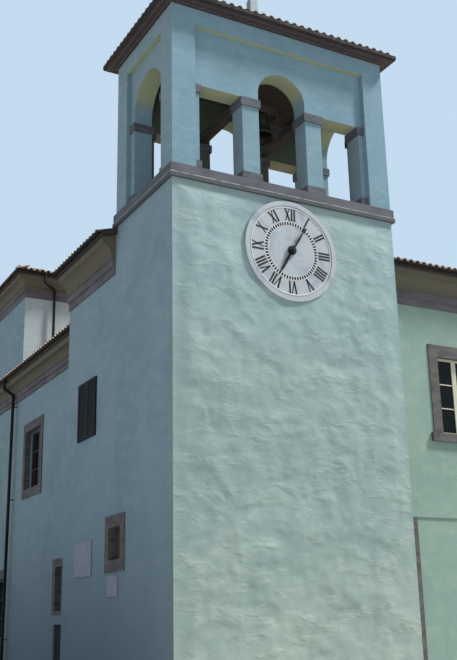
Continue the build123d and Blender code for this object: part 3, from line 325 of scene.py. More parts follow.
left_facing = (-0.8, -0.6)
down_facing = (-0.7, -0.1)
front_facing = -0.5
bounce_share = 0.8
# Painted shade for the walls inside the belfry room
painted_room_shade = paint(84, 92, 84)
# The left faces grow darker towards the ground
ground_darkening_tone = paint(98, 115, 126)
ground_darkening_height = 6.0
ground_darkening_share = 0.8
# Painted shade: the cooler tones of the faces that look left
shaded_side_tones = (paint(130, 151, 163), paint(122, 144, 155), paint(139, 159, 169))
tower_tones = (paint(149, 169, 167), paint(137, 159, 159), paint(160, 178, 174))
# Painted shade: the belfry's tones are darker and bluer, as under the eaves' shadow
eaves_shaded_belfry_tones = (paint(121, 152, 168), paint(114, 145, 160), paint(131, 160, 173))
house_tones = (paint(137, 161, 151), paint(130, 155, 146), paint(146, 167, 155))
# Painted sunlight: the rear block's tones are paler
sunlit_rear_tones = (paint(176, 188, 194), paint(168, 182, 189), paint(184, 194, 198))
# Painted bounce light: a warm tone for faces that look down
painted_bounce_tone = paint(158, 160, 118)


def rendered_wall(name, front, scales, streaks, relief, bounce_tone=None, room=None, creases=0.0):
    """A wall finish: its own three tones, the cooler painted-shade tones of the left faces, darker
    towards the ground, and where given, a warm painted bounce light on faces that look down and
    the painted shade of a room inside. The room is half as wide as its first number and runs along Y
    between the others."""
    material, tree = new_material(name)
    shared = {
        "Patch Scale": scales[0],
        "Trowel Scale": scales[1],
        "Streaks": streaks,
        "Creases": creases,
    }
    tones = ("Base", "Shade", "Bloom")
    open_face = grouped(tree, lime, {**shared, **dict(zip(tones, front))})
    shaded_side = grouped(tree, lime, {**shared, **dict(zip(tones, shaded_side_tones))})
    # Faces that look left take the cooler tones of painted shade
    leftward = spread(tree, at_point(tree, "Normal", "X"), *left_facing, 1, 0)
    # Darker towards the ground
    ground_darkening = spread(tree, at_point(tree, "Position", "Z"), 0, ground_darkening_height, ground_darkening_share, 0)
    ground_darkened = blend_color(tree, ground_darkening, shaded_side["Color"], ground_darkening_tone)
    mixed = blend_color(tree, leftward, open_face["Color"], ground_darkened)
    # Faces that look down take a warm painted bounce light
    if bounce_tone is not None:
        downward = spread(tree, at_point(tree, "Normal", "Z"), *down_facing, bounce_share, 0)
        mixed = blend_color(tree, downward, mixed, bounce_tone)
    # Inside the belfry room the walls take a painted shade
    if room is not None:
        half_width, front_y, back_y = room
        aside = calc(tree, "ABSOLUTE", at_point(tree, "Position", "X"))
        depth = at_point(tree, "Position", "Y")
        within = calc(tree, "LESS_THAN", aside, half_width)
        for kind, limit in (("GREATER_THAN", front_y), ("LESS_THAN", back_y)):
            within = calc(tree, "MULTIPLY", within, calc(tree, kind, depth, limit))
        mixed = blend_color(tree, within, mixed, painted_room_shade)
    return feed(material, mixed, open_face["Roughness"], open_face["Height"], relief, specular=0.3)


belfry_room = (2.41, 0.29, 2.35)
house_way = {"scales": (0.4, 1.8), "streaks": 0.10, "relief": 0.008}
tower_way = {"scales": (0.7, 1.7), "streaks": 0.06, "relief": 0.018, "creases": 0.30}
belfry_way = {"scales": (0.9, 3.2), "streaks": 0.08, "relief": 0.006}
tower_render = rendered_wall("tower_render", tower_tones, **tower_way)
belfry_render = rendered_wall(
    "belfry_render", eaves_shaded_belfry_tones, **belfry_way, bounce_tone=painted_bounce_tone, room=belfry_room
)
house_render = rendered_wall("house_render", house_tones, **house_way)
# The left walls wear the painted-shade tones all over
left_render = rendered_wall("left_render", shaded_side_tones, **house_way)
rear_render = rendered_wall("rear_render", sunlit_rear_tones, **house_way)

# The tower's front is painted bluer near the top, as painted shade under the eaves, warmer towards the
# ground, as painted sunlight, and darker in the middle
sunlit_foot_tint = (1.05, 1.0, 0.93, 1)
middle_tint = (0.93, 0.93, 0.92, 1)
eaves_shade_top_tint = (1.0, 1.03, 1.10, 1)
foot_levels = (1, 5)
top_levels = (5, 10.5)
tree, plain, base = open_color(tower_render)
level = at_point(tree, "Position", "Z")
lower_tint = blend_color(tree, spread(tree, level, *foot_levels), sunlit_foot_tint, middle_tint)
tint = blend_color(tree, spread(tree, level, *top_levels), lower_tint, eaves_shade_top_tint)
on_front = calc(tree, "LESS_THAN", at_point(tree, "Normal", "Y"), front_facing)
tree.links.new(blend_color(tree, on_front, plain, tint, kind="MULTIPLY"), base)

dress(tower_render, "tower_back_wall", "tower_right_wall", "tower_front_wall", "tower_left_wall")
dress(belfry_render, "belfry_front_wall", "belfry_back_wall", "belfry_left_wall", "belfry_right_wall")
dress(house_render, "range_front_wall", "range_back_wall", "range_right_wall", "wing_right_wall")
dress(left_render, "range_left_wall", "wing_left_wall", "wing_left_wall_foot", "wing_end_pier")
dress(rear_render, "rear_block_long_walls", "rear_block_side_walls", "roof_finial")


# Uneven render on the tower's front
# The float followed the rubble behind it, so the face swells and sinks by some centimetres. It is one
# closed slab: a fine grid in front, moved by noise that dies away at the corners and is calmer
# round the dial.
relief_cell = 0.06
relief_depth = 0.074
relief_margin = 0.50
relief_scale = 1.0
ripple_share = 0.40
ripple_scale = 2.1
ripple_lean = math.radians(14)
ripple_stretch = (0.7, 1, 1)
swell_range = (0.34, 0.66)
calm_round_dial = (1.26, 1.9)
calm_share = 0.58


def run_tree(piece, tree, values):
    """Runs a tree on a piece and keeps the plain mesh that it makes."""
    modifier = piece.modifiers.new("made", "NODES")
    modifier.node_group = tree
    for item in tree.interface.items_tree:
        if item.item_type == "SOCKET" and item.in_out == "INPUT" and item.name in values:
            modifier[item.identifier] = values[item.name]
    graph = bpy.context.evaluated_depsgraph_get()
    made = bpy.data.meshes.new_from_object(
        piece.evaluated_get(graph), preserve_all_data_layers=True, depsgraph=graph
    )
    piece.modifiers.clear()
    piece.data = made
    made.name = piece.name
    return piece


def finish_piece(piece, material, body="root"):
    """Gives a piece its only material and the body that carries it."""
    piece.data.materials.clear()
    piece.data.materials.append(material)
    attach(piece, body)


uneven, given, out = new_group(
    "uneven_face",
    "GeometryNodeTree",
    {
        "Geometry": GEOMETRY,
        "Depth": FLOAT,
        "Scale": FLOAT,
        "Ripple Share": FLOAT,
        "Ripple Scale": FLOAT,
        "Margin": FLOAT,
        "Low": VECTOR,
        "High": VECTOR,
        "Dial": VECTOR,
    },
    SHAPE,
)
where = put(uneven, "GeometryNodeInputPosition").outputs[0]
swell = cloud(uneven, where, given["Scale"], 4.0, 0.55, 0.5)
lean = {"Vector": where, "Angle": ripple_lean}
leaned = put(uneven, "ShaderNodeVectorRotate", lean, rotation_type="Y_AXIS").outputs["Vector"]
drawn_out = vector_calc(uneven, "MULTIPLY", leaned, ripple_stretch)
ripple = cloud(uneven, drawn_out, given["Ripple Scale"], 3.0, 0.6, 0.4)
between = calc(uneven, "SUBTRACT", ripple, swell)
weighed = calc(uneven, "MULTIPLY", between, given["Ripple Share"])
rough = calc(uneven, "ADD", swell, weighed)
from_low = vector_calc(uneven, "SUBTRACT", where, given["Low"])
from_high = vector_calc(uneven, "SUBTRACT", given["High"], where)
nearest = vector_calc(uneven, "MINIMUM", from_low, from_high)
sides = put(uneven, "ShaderNodeSeparateXYZ", {0: nearest}).outputs
edge_distance = calc(uneven, "MINIMUM", sides["X"], sides["Z"])
fade = spread(uneven, edge_distance, 0, given["Margin"])
risen = spread(uneven, rough, *swell_range, kind="LINEAR")
height = calc(uneven, "MULTIPLY", risen, fade)
from_dial = vector_calc(uneven, "DISTANCE", where, given["Dial"], "Value")
calm = spread(uneven, from_dial, *calm_round_dial, calm_share, 1.0)
height = calc(uneven, "MULTIPLY", height, calm)
outward = calc(uneven, "MULTIPLY", height, given["Depth"])
shift = calc(uneven, "MULTIPLY", outward, -1.0)
offset = put(uneven, "ShaderNodeCombineXYZ", {"Y": shift}).outputs[0]
change = {"Geometry": given["Geometry"], "Offset": offset}
moved = put(uneven, "GeometryNodeSetPosition", change).outputs[0]
connect(uneven, out, {"Geometry": moved})

wall_low, wall_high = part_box("tower_front_wall")
dial_low, dial_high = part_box("clock_dial")
face_shape = bmesh.new()
bmesh.ops.create_grid(
    face_shape,
    x_segments=round((wall_high.x - wall_low.x) / relief_cell),
    y_segments=round((wall_high.z - wall_low.z) / relief_cell),
    size=0.5,
)
stand_up = Matrix.Translation(((wall_low.x + wall_high.x) / 2, wall_low.y, (wall_low.z + wall_high.z) / 2))
stand_up @= Matrix.Rotation(math.radians(90), 4, "X")
stand_up @= Matrix.Diagonal((wall_high.x - wall_low.x, wall_high.z - wall_low.z, 1, 1))
bmesh.ops.transform(face_shape, matrix=stand_up, verts=face_shape.verts)
tower_front = new_piece("tower_front_render", face_shape)
run_tree(
    tower_front,
    uneven,
    {
        "Depth": relief_depth,
        "Scale": relief_scale,
        "Ripple Share": ripple_share,
        "Ripple Scale": ripple_scale,
        "Margin": relief_margin,
        "Low": wall_low,
        "High": wall_high,
        "Dial": Vector((0, wall_low.y, (dial_low.z + dial_high.z) / 2)),
    },
)
solid = bmesh.new()
solid.from_mesh(tower_front.data)
beside = {}
for edge in [edge for edge in solid.edges if edge.is_boundary]:
    edge.smooth = False
    for vert in edge.verts:
        beside.setdefault(vert, []).append(edge.other_vert(vert))
rim = [next(iter(beside))]
while len(rim) < len(beside):
    rim.append(next(vert for vert in beside[rim[-1]] if vert not in rim[-2:]))
backs = [solid.verts.new((vert.co.x, wall_high.y, vert.co.z)) for vert in rim]
for index, vert in enumerate(rim):
    following = (index + 1) % len(rim)
    solid.faces.new((vert, rim[following], backs[following], backs[index]))
solid.faces.new(backs)
bmesh.ops.recalc_face_normals(solid, faces=solid.faces)
solid.to_mesh(tower_front.data)
solid.free()
for polygon in tower_front.data.polygons:
    polygon.use_smooth = polygon.normal.y < front_facing
finish_piece(tower_front, tower_render)
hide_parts("tower_front_wall")


# Stone: string course, caps, bases and window surrounds
# Cool grey sandstone, pitted by the weather, and painted paler on the faces that look up, as painted
# light.
up_facing = (0.2, 0.9)
pit_relief = 0.35
seam_slack = 0.001
pit_tone = (0.05, 0.045, 0.05, 1)
rock, given, out = new_group(
    "weathered_stone",
    "ShaderNodeTree",
    {"Base": COLOR, "Dark": COLOR, "Washed": COLOR, "Bed Scale": FLOAT},
    FINISH,
)
beds = cloud(rock, stretched(rock, (1, 1, 3)), given["Bed Scale"], 6, 0.6, 0.4)
pits = cloud(rock, stretched(rock), 34, 3, 0.65)
upward = spread(rock, at_point(rock, "Normal", "Z"), *up_facing)
bedding = spread(rock, beds, 0.35, 0.68)
pitting = spread(rock, pits, 0.52, 0.72, 0, 0.35)
bedded = blend_color(rock, bedding, given["Base"], given["Dark"])
# Faces that look up take the lit-top tone: painted light
lit_top = blend_color(rock, upward, bedded, given["Washed"])
results = {
    "Color": blend_color(rock, pitting, lit_top, pit_tone),
    "Roughness": spread(rock, beds, 0, 1, 0.75, 0.95),
    "Height": calc(rock, "ADD", calc(rock, "MULTIPLY", pits, pit_relief), beds),
}
connect(rock, out, results)


def stone(name, base, dark, lit_top, bed_scale, relief, specular=0.3):
    """A weathered stone with its own three tones, from 0 to 255; the third is painted light on faces that
    look up.
    """
    tones = {"Base": paint(*base), "Dark": paint(*dark), "Washed": paint(*lit_top)}
    return surface(name, rock, {**tones, "Bed Scale": bed_scale}, relief, specular)


string_stone = stone(
    "string_stone", (96, 99, 106), (82, 85, 92), (190, 188, 176), bed_scale=1.4, relief=0.012
)
cap_stone = stone(
    "cap_stone", (94, 98, 107), (77, 81, 90), (140, 142, 148), bed_scale=3.0, relief=0.008
)
surround_stone = stone(
    "surround_stone", (97, 95, 93), (76, 75, 76), (142, 138, 128), bed_scale=2.2, relief=0.010
)

# The lower moulding of the string course is darker, and its upper edge carries a painted highlight, broken
# in places
lower_moulding = 0.11
highlight_band = 0.020
moulding_tone = paint(78, 83, 87)
painted_highlight_tone = paint(156, 158, 160)
tree, plain, base = open_color(string_stone)
level = at_point(tree, "Position", "Z")
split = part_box("string_course")[0].z + lower_moulding
below = calc(tree, "LESS_THAN", level, split + seam_slack)
darkened = blend_color(tree, below, plain, moulding_tone)
on_highlight_band = calc(tree, "MULTIPLY", below, calc(tree, "GREATER_THAN", level, split - highlight_band))
highlight_strength = spread(tree, cloud(tree, stretched(tree), 5, 3), 0.30, 0.55, 0.2, 1)
highlight_share = calc(tree, "MULTIPLY", on_highlight_band, highlight_strength)
tree.links.new(blend_color(tree, highlight_share, darkened, painted_highlight_tone), base)
dress(string_stone, "string_course")
dress(cap_stone, "belfry_caps", "belfry_bases")
dress(surround_stone, "stone_surrounds")


# House cornices
# Run in stucco on brick: grey bands below, and a brown cove that meets the soffit.
cove_color = paint(96, 92, 80)
band_color = (104, 102, 106)
band_dark = (87, 86, 90)


def cornice_finish(node, band):
    """Grey on the two bands at the foot of a cornice, and brown on the cove and fascia above."""
    tones = (band_color, band_dark, band_color)
    material = stone(node, *tones, bed_scale=1.0, relief=0.006, specular=0.25)
    tree, plain, base = open_color(material)
    top_of_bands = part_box(node)[0].z + 2 * band + seam_slack
    above = calc(tree, "GREATER_THAN", at_point(tree, "Position", "Z"), top_of_bands)
    tree.links.new(blend_color(tree, above, plain, cove_color), base)
    dress(material, node)


for node, band in (("range_cornice", 0.20), ("wing_cornice", 0.15), ("rear_block_cornice", 0.15)):
    cornice_finish(node, band)


# Timber of the belfry and its eaves
# Old softwood, darkened by the weather, with the grain along the length.
grain, given, out = new_group(
    "timber_grain", "ShaderNodeTree", {"Base": COLOR, "Dark": COLOR, "Squeeze": VECTOR}, FINISH
)
grain_place = stretched(grain, given["Squeeze"])
fibres = cloud(grain, grain_place, 22, 4, 0.6, 0.3)
knots = cloud(grain, grain_place, 4, 3, 0.5, 0.8)
grained = blend_color(grain, spread(grain, fibres, 0.35, 0.7), given["Base"], given["Dark"])
knotty = spread(grain, knots, 0.55, 0.75, 0, 0.5)
results = {
    "Color": blend_color(grain, knotty, grained, given["Dark"]),
    "Roughness": spread(grain, fibres, 0, 1, 0.6, 0.85),
    "Height": fibres,
}
connect(grain, out, results)


def timber(name, base, dark, squeeze):
    """A timber finish whose grain runs along the axis with the smallest number in squeeze."""
    sockets = {"Base": base, "Dark": dark, "Squeeze": squeeze}
    return surface(name, grain, sockets, relief=0.004, specular=0.5)


beam_timber = timber("beam_timber", paint(62, 52, 48), paint(40, 34, 32), (1, 0.06, 1))
yoke_timber = timber("yoke_timber", paint(60, 51, 47), paint(38, 33, 32), (0.06, 1, 1))
eaves_timber = timber("eaves_timber", paint(62, 50, 51), paint(50, 41, 43), (0.15, 0.15, 1))
ceiling_timber = timber("ceiling_timber", paint(70, 66, 54), paint(52, 48, 40), (0.06, 1, 1))
dress(beam_timber, "bell_beams")
dress(yoke_timber, "bell_yoke")
dress(eaves_timber, "belfry_eaves")
dress(ceiling_timber, "belfry_ceiling")


# Roofs
# Half-round clay tiles in courses over flat pans, laid on boards, with wider ones along the hips and
# the ridges. Each tile is fired and weathered a little differently.
tile_pitch = 0.22
tile_course = 0.34
tile_length = 0.42
cover_low_radius = 0.082
cover_high_radius = 0.066
tile_thickness = 0.014
tile_facets = 6
pan_width = 0.16
house_overhang = 0.05
tower_overhang = -0.03
tower_hip_inset = 0.20
tile_lift = 0.022
roof_pitch = 0.30
ridge_radius = 0.115
ridge_course = 0.36
ridge_taper = 0.88
tile_wobble = math.radians(1.6)

roof_boards, tree = new_material("roof_boards")
board_noise = cloud(tree, stretched(tree, (0.3, 0.3, 1)), 9, 3)
board_color = blend_color(tree, board_noise, paint(56, 44, 43), paint(44, 36, 35))
feed(roof_boards, board_color, roughness=0.85)
range_roofs = (
    "range_roof_left",
    "range_roof_behind_tower",
    "range_roof_front",
    "range_roof_right",
    "range_roof_back",
)
dress(roof_boards, "belfry_roof", "wing_roof", "rear_block_roof", *range_roofs)

clay, tree = new_material("clay_tile")
tone = put(tree, "ShaderNodeAttribute", attribute_name="tone").outputs["Fac"]
lichen = cloud(tree, stretched(tree), 5, 5, 0.65)
flecks = cloud(tree, stretched(tree), 40, 2, 0.6)
fired = blend_color(tree, tone, paint(206, 174, 150), paint(164, 124, 102))
weathered = blend_color(tree, spread(tree, lichen, 0.40, 0.60, 0, 0.8), fired, paint(204, 192, 174))
flecked = blend_color(tree, spread(tree, flecks, 0.55, 0.75, 0, 0.5), weathered, paint(70, 58, 50))
feed(clay, flecked, roughness=0.88, height=flecks, relief=0.004)

courses, given, out = new_group(
    "laid_courses",
    "GeometryNodeTree",
    {
        "Geometry": GEOMETRY,
        "Unit": "NodeSocketObject",
        "Wobble": FLOAT,
        "Seed": "NodeSocketInt",
        "Finish": "NodeSocketMaterial",
    },
    SHAPE,
)
unit = put(courses, "GeometryNodeObjectInfo", {"Object": given["Unit"]}).outputs["Geometry"]
turn = put(
    courses, "GeometryNodeInputNamedAttribute", {"Name": "turn"}, data_type="FLOAT_VECTOR"
).outputs["Attribute"]
away = calc(courses, "MULTIPLY", given["Wobble"], -1.0)
limits = {0: away, 1: given["Wobble"], "Seed": given["Seed"]}
shaken = put(courses, "FunctionNodeRandomValue", limits, data_type="FLOAT_VECTOR")
toned = put(courses, "FunctionNodeRandomValue", {"Seed": given["Seed"]}, data_type="FLOAT")
turned = vector_calc(courses, "ADD", turn, shaken.outputs[0])
laid = put(
    courses,
    "GeometryNodeInstanceOnPoints",
    {"Points": given["Geometry"], "Instance": unit, "Rotation": turned},
)
marked = put(
    courses,
    "GeometryNodeStoreNamedAttribute",
    {"Geometry": laid.outputs[0], "Name": "tone"},
    data_type="FLOAT",
    domain="INSTANCE",
)
value_socket = next(item for item in marked.inputs if item.name == "Value" and item.enabled)
courses.links.new(
    next(item for item in toned.outputs if item.enabled and item.type == "VALUE"), value_socket
)
real = put(courses, "GeometryNodeRealizeInstances", {"Geometry": marked.outputs[0]})
finish = {"Geometry": real.outputs[0], "Material": given["Finish"]}
colored = put(courses, "GeometryNodeSetMaterial", finish)
connect(courses, out, {"Geometry": colored.outputs[0]})


def add_block(shape, low, high):
    """Adds a plain block between two corners to a bmesh."""
    middle = (Vector(low) + Vector(high)) / 2
    size = Vector(high) - Vector(low)
    place = Matrix.Translation(middle) @ Matrix.Diagonal((*size, 1))
    bmesh.ops.create_cube(shape, size=1, matrix=place)


def add_barrel(shape, length, low_radius, high_radius, thickness):
    """Adds a half-round tile: it opens downwards, runs along +Y and narrows towards its upper end."""
    rings = []
    for y, radius in ((0, low_radius), (length, high_radius)):
        for reach in (radius, radius - thickness):
            ring = []
            for facet in range(tile_facets + 1):
                angle = math.pi * facet / tile_facets
                place = (reach * math.cos(angle), y, reach * math.sin(angle))
                ring.append(shape.verts.new(place))
            rings.append(ring)
    low_outer, low_inner, high_outer, high_inner = rings
    for first, second in (
        (low_outer, high_outer),
        (high_inner, low_inner),
        (low_inner, low_outer),
        (high_outer, high_inner),
    ):
        for facet in range(tile_facets):
            shape.faces.new((first[facet], second[facet], second[facet + 1], first[facet + 1]))
    for end in (0, tile_facets):
        quad = (low_outer[end], low_inner[end], high_inner[end], high_outer[end])
        shape.faces.new(quad if end == 0 else quad[::-1])


def hidden_unit(name, shape):
    """A mesh that only lends its shape to a tree."""
    bmesh.ops.recalc_face_normals(shape, faces=shape.faces)
    unit_piece = new_piece(name, shape)
    unit_piece.hide_render = True
    unit_piece.hide_viewport = True
    return unit_piece


tile_shape = bmesh.new()
add_barrel(tile_shape, tile_length, cover_low_radius, cover_high_radius, tile_thickness)
pan_middle = tile_pitch / 2
pan_base = -tile_lift / 2
add_block(
    tile_shape,
    (pan_middle - pan_width / 2, 0, pan_base),
    (pan_middle + pan_width / 2, tile_length, pan_base + tile_thickness),
)
tile_unit = hidden_unit("tile_unit", tile_shape)
ridge_shape = bmesh.new()
add_barrel(ridge_shape, tile_length, ridge_radius, ridge_radius * ridge_taper, tile_thickness)
ridge_unit = hidden_unit("ridge_unit", ridge_shape)


def point_piece(name, places):
    """Loose points, each with the turn of what stands on it: places holds (position, turn)."""
    mesh = bpy.data.meshes.new(name)
    mesh.from_pydata([tuple(position) for position, turn in places], [], [])
    turns = mesh.attributes.new("turn", "FLOAT_VECTOR", "POINT")
    turns.data.foreach_set("vector", [angle for position, turn in places for angle in turn])
    return add_object(name, mesh)


def facing_turn(forward, upward):
    """The turn that lays a unit's +Y along forward and its +Z nearest to upward."""
    y = forward.normalized()
    x = y.cross(upward).normalized()
    return Matrix((x, y, x.cross(y))).transposed().to_euler()


UP = Vector((0, 0, 1))


def everywhere(x, y):
    """Keeps every tile."""
    return True


def slope_places(start, end, depth, edge_z, hips, overhang, keep=everywhere):
    """Places of the tiles on one slope. The eaves run from start to end with the house on the left,
    depth is how far the slope reaches in, hips says which of its two ends are cut by a hip, and
    overhang is how far the lowest course stands past the boards."""
    run = (end - start).normalized()
    inward = Vector((-run.y, run.x, 0))
    forward = inward + roof_pitch * UP
    turn = facing_turn(forward, UP)
    course = tile_course / math.hypot(1, roof_pitch)
    length = (end - start).length
    count = round(length / tile_pitch)
    pitch = length / count
    places = []
    for row in range(math.ceil((depth + overhang) / course)):
        inset = row * course - overhang
        for column in range(count + 1):
            along = column * pitch
            cut = max(inset, 0, -2 * overhang)
            if along < cut * hips[0] or along > length - cut * hips[1]:
                continue
            position = start + run * along + inward * inset
            if not keep(position.x, position.y):
                continue
            position.z = edge_z + roof_pitch * inset + tile_lift
            places.append((position, turn))
    return places


def ridge_places(start, end):
    """Places of the wide tiles along a hip or a ridge, from its lower end."""
    line = end - start
    turn = facing_turn(line, UP)
    count = max(1, int(line.length / ridge_course))
    return [(start + line * (step / count), turn) for step in range(count)]


def joint_box(names):
    """The box round several CAD nodes."""
    boxes = [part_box(name) for name in names]
    low = Vector([min(box[0][axis] for box in boxes) for axis in range(3)])
    high = Vector([max(box[1][axis] for box in boxes) for axis in range(3)])
    return low, high


def hipped_roof(names, board, overhang, hip_inset, keep=everywhere):
    """Tile and ridge places of a roof hipped at both ends, read from its boards."""
    low, high = joint_box(names)
    edge_z = low.z + board
    half = min(high.x - low.x, high.y - low.y) / 2
    spots = ((low.x, low.y), (high.x, low.y), (high.x, high.y), (low.x, high.y))
    corners = [Vector((*spot, 0)) for spot in spots]
    tiles = []
    for start, end in zip(corners, corners[1:] + corners[:1]):
        tiles += slope_places(start, end, half, edge_z, (1, 1), overhang, keep)
    top = edge_z + roof_pitch * half + tile_lift
    middle = (low + high) / 2
    ends = [Vector((low.x + half, middle.y, top)), Vector((high.x - half, middle.y, top))]
    ridges = ridge_places(*ends)
    for corner in corners:
        foot = Vector((corner.x, corner.y, edge_z + tile_lift))
        head = ends[0] if corner.x < middle.x else ends[1]
        ridges += ridge_places(foot + hip_inset * (head - foot).normalized(), head)
    return tiles, [place for place in ridges if keep(place[0].x, place[0].y)]


def lay_roof(name, tiles, ridges, seed):
    """Lays the tiles and the ridge tiles of one roof as two pieces."""
    for part, places, unit_piece in (("tiles", tiles, tile_unit), ("ridge", ridges, ridge_unit)):
        piece = point_piece(f"{name}_{part}", places)
        values = {"Unit": unit_piece, "Wobble": tile_wobble, "Seed": seed, "Finish": clay}
        run_tree(piece, courses, values)
        finish_piece(piece, clay)


house_board = 0.15
tower_board = 0.09
tower_low, tower_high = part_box("string_course")
wing_low, wing_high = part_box("wing_roof")
verge_y = 2.84


def clear_of_tower_and_wing(x, y):
    """True where the range's roof lies open: beside the tower, and not over the wing."""
    past_verge = x < tower_low.x and y > verge_y + cover_low_radius
    beside_tower = x > tower_high.x or y > tower_high.y or past_verge
    beside_wing = x > wing_high.x or y < wing_low.y
    return beside_tower and beside_wing


tower_places = hipped_roof(["belfry_roof"], tower_board, tower_overhang, tower_hip_inset)
range_places = hipped_roof(range_roofs, house_board, house_overhang, 0, clear_of_tower_and_wing)
rear_places = hipped_roof(["rear_block_roof"], house_board, house_overhang, 0)
lay_roof("tower_roof", *tower_places, seed=3)
lay_roof("range_roof", *range_places, seed=5)
lay_roof("rear_roof", *rear_places, seed=7)

wing_edge = wing_low.z + house_board
wing_half = (wing_high.x - wing_low.x) / 2
wing_tiles = []
for start, end in (
    ((wing_low.x, wing_high.y, 0), (wing_low.x, wing_low.y, 0)),
    ((wing_high.x, wing_low.y, 0), (wing_high.x, wing_high.y, 0)),
):
    wing_tiles += slope_places(Vector(start), Vector(end), wing_half, wing_edge, (0, 0), house_overhang)
wing_top = wing_edge + roof_pitch * wing_half + tile_lift
wing_middle = (wing_low.x + wing_high.x) / 2
ridge_ends = (Vector((wing_middle, y, wing_top)) for y in (wing_low.y, wing_high.y))
lay_roof("wing_roof", wing_tiles, ridge_places(*ridge_ends), seed=11)


# Gutters and iron
# Half-round sheet gutters and wrought iron, both painted nearly black, and the bell's dull bronze.
gloss_swing = 0.08


def coated(name, color, roughness, metallic=0.0, variation=0.25):
    """A painted or patinated finish with slight wear in its colour and gloss."""
    material, tree = new_material(name)
    wear = cloud(tree, stretched(tree), 9, 4, 0.6)
    darker = tuple(value * (1 - variation) for value in color[:3]) + (1,)
    worn = blend_color(tree, spread(tree, wear, 0.35, 0.65), color, darker)
    gloss = spread(tree, wear, 0.3, 0.7, roughness - gloss_swing, roughness + gloss_swing)
    return feed(material, worn, gloss, wear, relief=0.001, specular=0.25, metallic=metallic)


gutter_paint = coated("gutter_paint", paint(24, 22, 25), roughness=0.75)
black_iron = coated("black_iron", paint(15, 16, 21), roughness=0.7)
bronze = coated("bell_bronze", paint(54, 51, 42), roughness=0.5, metallic=0.6)
dress(gutter_paint, "gutters", "downpipes")
dress(black_iron, "clock_arbor", "hour_hand", "minute_hand", "bell_bearings", "bell_clapper")
dress(black_iron, "door_pintles")
dress(bronze, "bell")


# Clock dial
# One disc of pale marble with a fillet round the hour ring, whose pale paint is a painted highlight.
# Numerals, minute marks and hands are black.
veins, given, out = new_group(
    "marble_finish", "ShaderNodeTree", {"Base": COLOR, "Vein": COLOR, "Vein Scale": FLOAT}, FINISH
)
clouds = cloud(veins, stretched(veins), given["Vein Scale"], 5, 0.55, 1.4)
fine = cloud(veins, stretched(veins), 18, 3, 0.6)
veined = blend_color(veins, spread(veins, clouds, 0.42, 0.70), given["Base"], given["Vein"])
specks = spread(veins, fine, 0.55, 0.8, 0, 0.25)
results = {
    "Color": blend_color(veins, specks, veined, given["Vein"]),
    "Roughness": spread(veins, fine, 0, 1, 0.45, 0.65),
    "Height": fine,
}
connect(veins, out, results)
dial_tones = {"Base": paint(166, 174, 181), "Vein": paint(141, 149, 164), "Vein Scale": 1.3}
plaque_tones = {"Base": paint(125, 128, 142), "Vein": paint(114, 116, 132), "Vein Scale": 2.0}
dial_marble = surface("dial_marble", veins, dial_tones, relief=0.002, specular=0.4)
plaque_marble = surface("plaque_marble", veins, plaque_tones, relief=0.001, specular=0.4)
dress(dial_marble, "clock_dial")
dress(plaque_marble, "wall_plaques")

dial_centre = Vector((0, 0, (dial_low.z + dial_high.z) / 2))
rim_height = 0.018
dial_face_y = dial_low.y + rim_height
numeral_outer = 1.045
numeral_inner = 0.740
numeral_thick = 0.042
numeral_thin = 0.024
numeral_relief = 0.004
glyph_widths = {"I": 0.072, "V": 0.160, "X": 0.160}
numeral_slant = 0.060
cross_slant = 0.054
minute_inner = 0.632
minute_outer = 0.708
minute_width = 0.046
fillet_radius = 1.070
fillet_width = 0.026
fillet_height = 0.012
fillet_sides = 6
minute_ring = (0.622, 0.718)
ring_relief = 0.002
hoop_steps = 120


def dial_place(hour_angle, across, outwards):
    """A point on the dial's face: across and outwards from the arbor, on the spoke at an angle."""
    spoke = Vector((math.sin(hour_angle), 0, math.cos(hour_angle)))
    side = Vector((math.cos(hour_angle), 0, -math.sin(hour_angle)))
    point = dial_centre + side * across + spoke * outwards
    point.y = dial_face_y
    return point


def add_stroke(shape, hour_angle, start, end, width):
    """A painted stroke between two (across, outwards) points, cut off square to the spoke."""
    half = width / 2
    corners = (
        (start[0] - half, start[1]),
        (start[0] + half, start[1]),
        (end[0] + half, end[1]),
        (end[0] - half, end[1]),
    )
    base = [shape.verts.new(dial_place(hour_angle, *corner)) for corner in corners]
    lift = Vector((0, -numeral_relief, 0))
    top = [shape.verts.new(vert.co + lift) for vert in base]
    shape.faces.new(top)
    shape.faces.new(base[::-1])
    for index in range(4):
        following = (index + 1) % 4
        shape.faces.new((base[index], base[following], top[following], top[index]))


def add_numeral(shape, hour_angle, text):
    """A numeral that stands with its foot towards the arbor."""
    width = sum(glyph_widths[glyph] for glyph in text)
    left = -width / 2
    for glyph in text:
        middle = left + glyph_widths[glyph] / 2
        low, high = numeral_inner, numeral_outer
        if glyph == "I":
            add_stroke(shape, hour_angle, (middle, low), (middle, high), numeral_thick)
        if glyph == "V":
            add_stroke(shape, hour_angle, (middle, low), (middle - numeral_slant, high), numeral_thick)
            add_stroke(shape, hour_angle, (middle, low), (middle + numeral_slant, high), numeral_thin)
        if glyph == "X":
            left_end, right_end = middle - cross_slant, middle + cross_slant
            add_stroke(shape, hour_angle, (right_end, low), (left_end, high), numeral_thick)
            add_stroke(shape, hour_angle, (left_end, low), (right_end, high), numeral_thin)
        left += glyph_widths[glyph]


hour_names = ("I", "II", "III", "IIII", "V", "VI", "VII", "VIII", "IX", "X", "XI", "XII")
marks = bmesh.new()
for number, text in enumerate(hour_names, start=1):
    add_numeral(marks, math.radians(30 * number), text)
for minute in range(60):
    angle = math.radians(6 * minute)
    add_stroke(marks, angle, (0, minute_inner), (0, minute_outer), minute_width)
bmesh.ops.recalc_face_normals(marks, faces=marks.faces)
finish_piece(new_piece("clock_numerals", marks), black_iron)

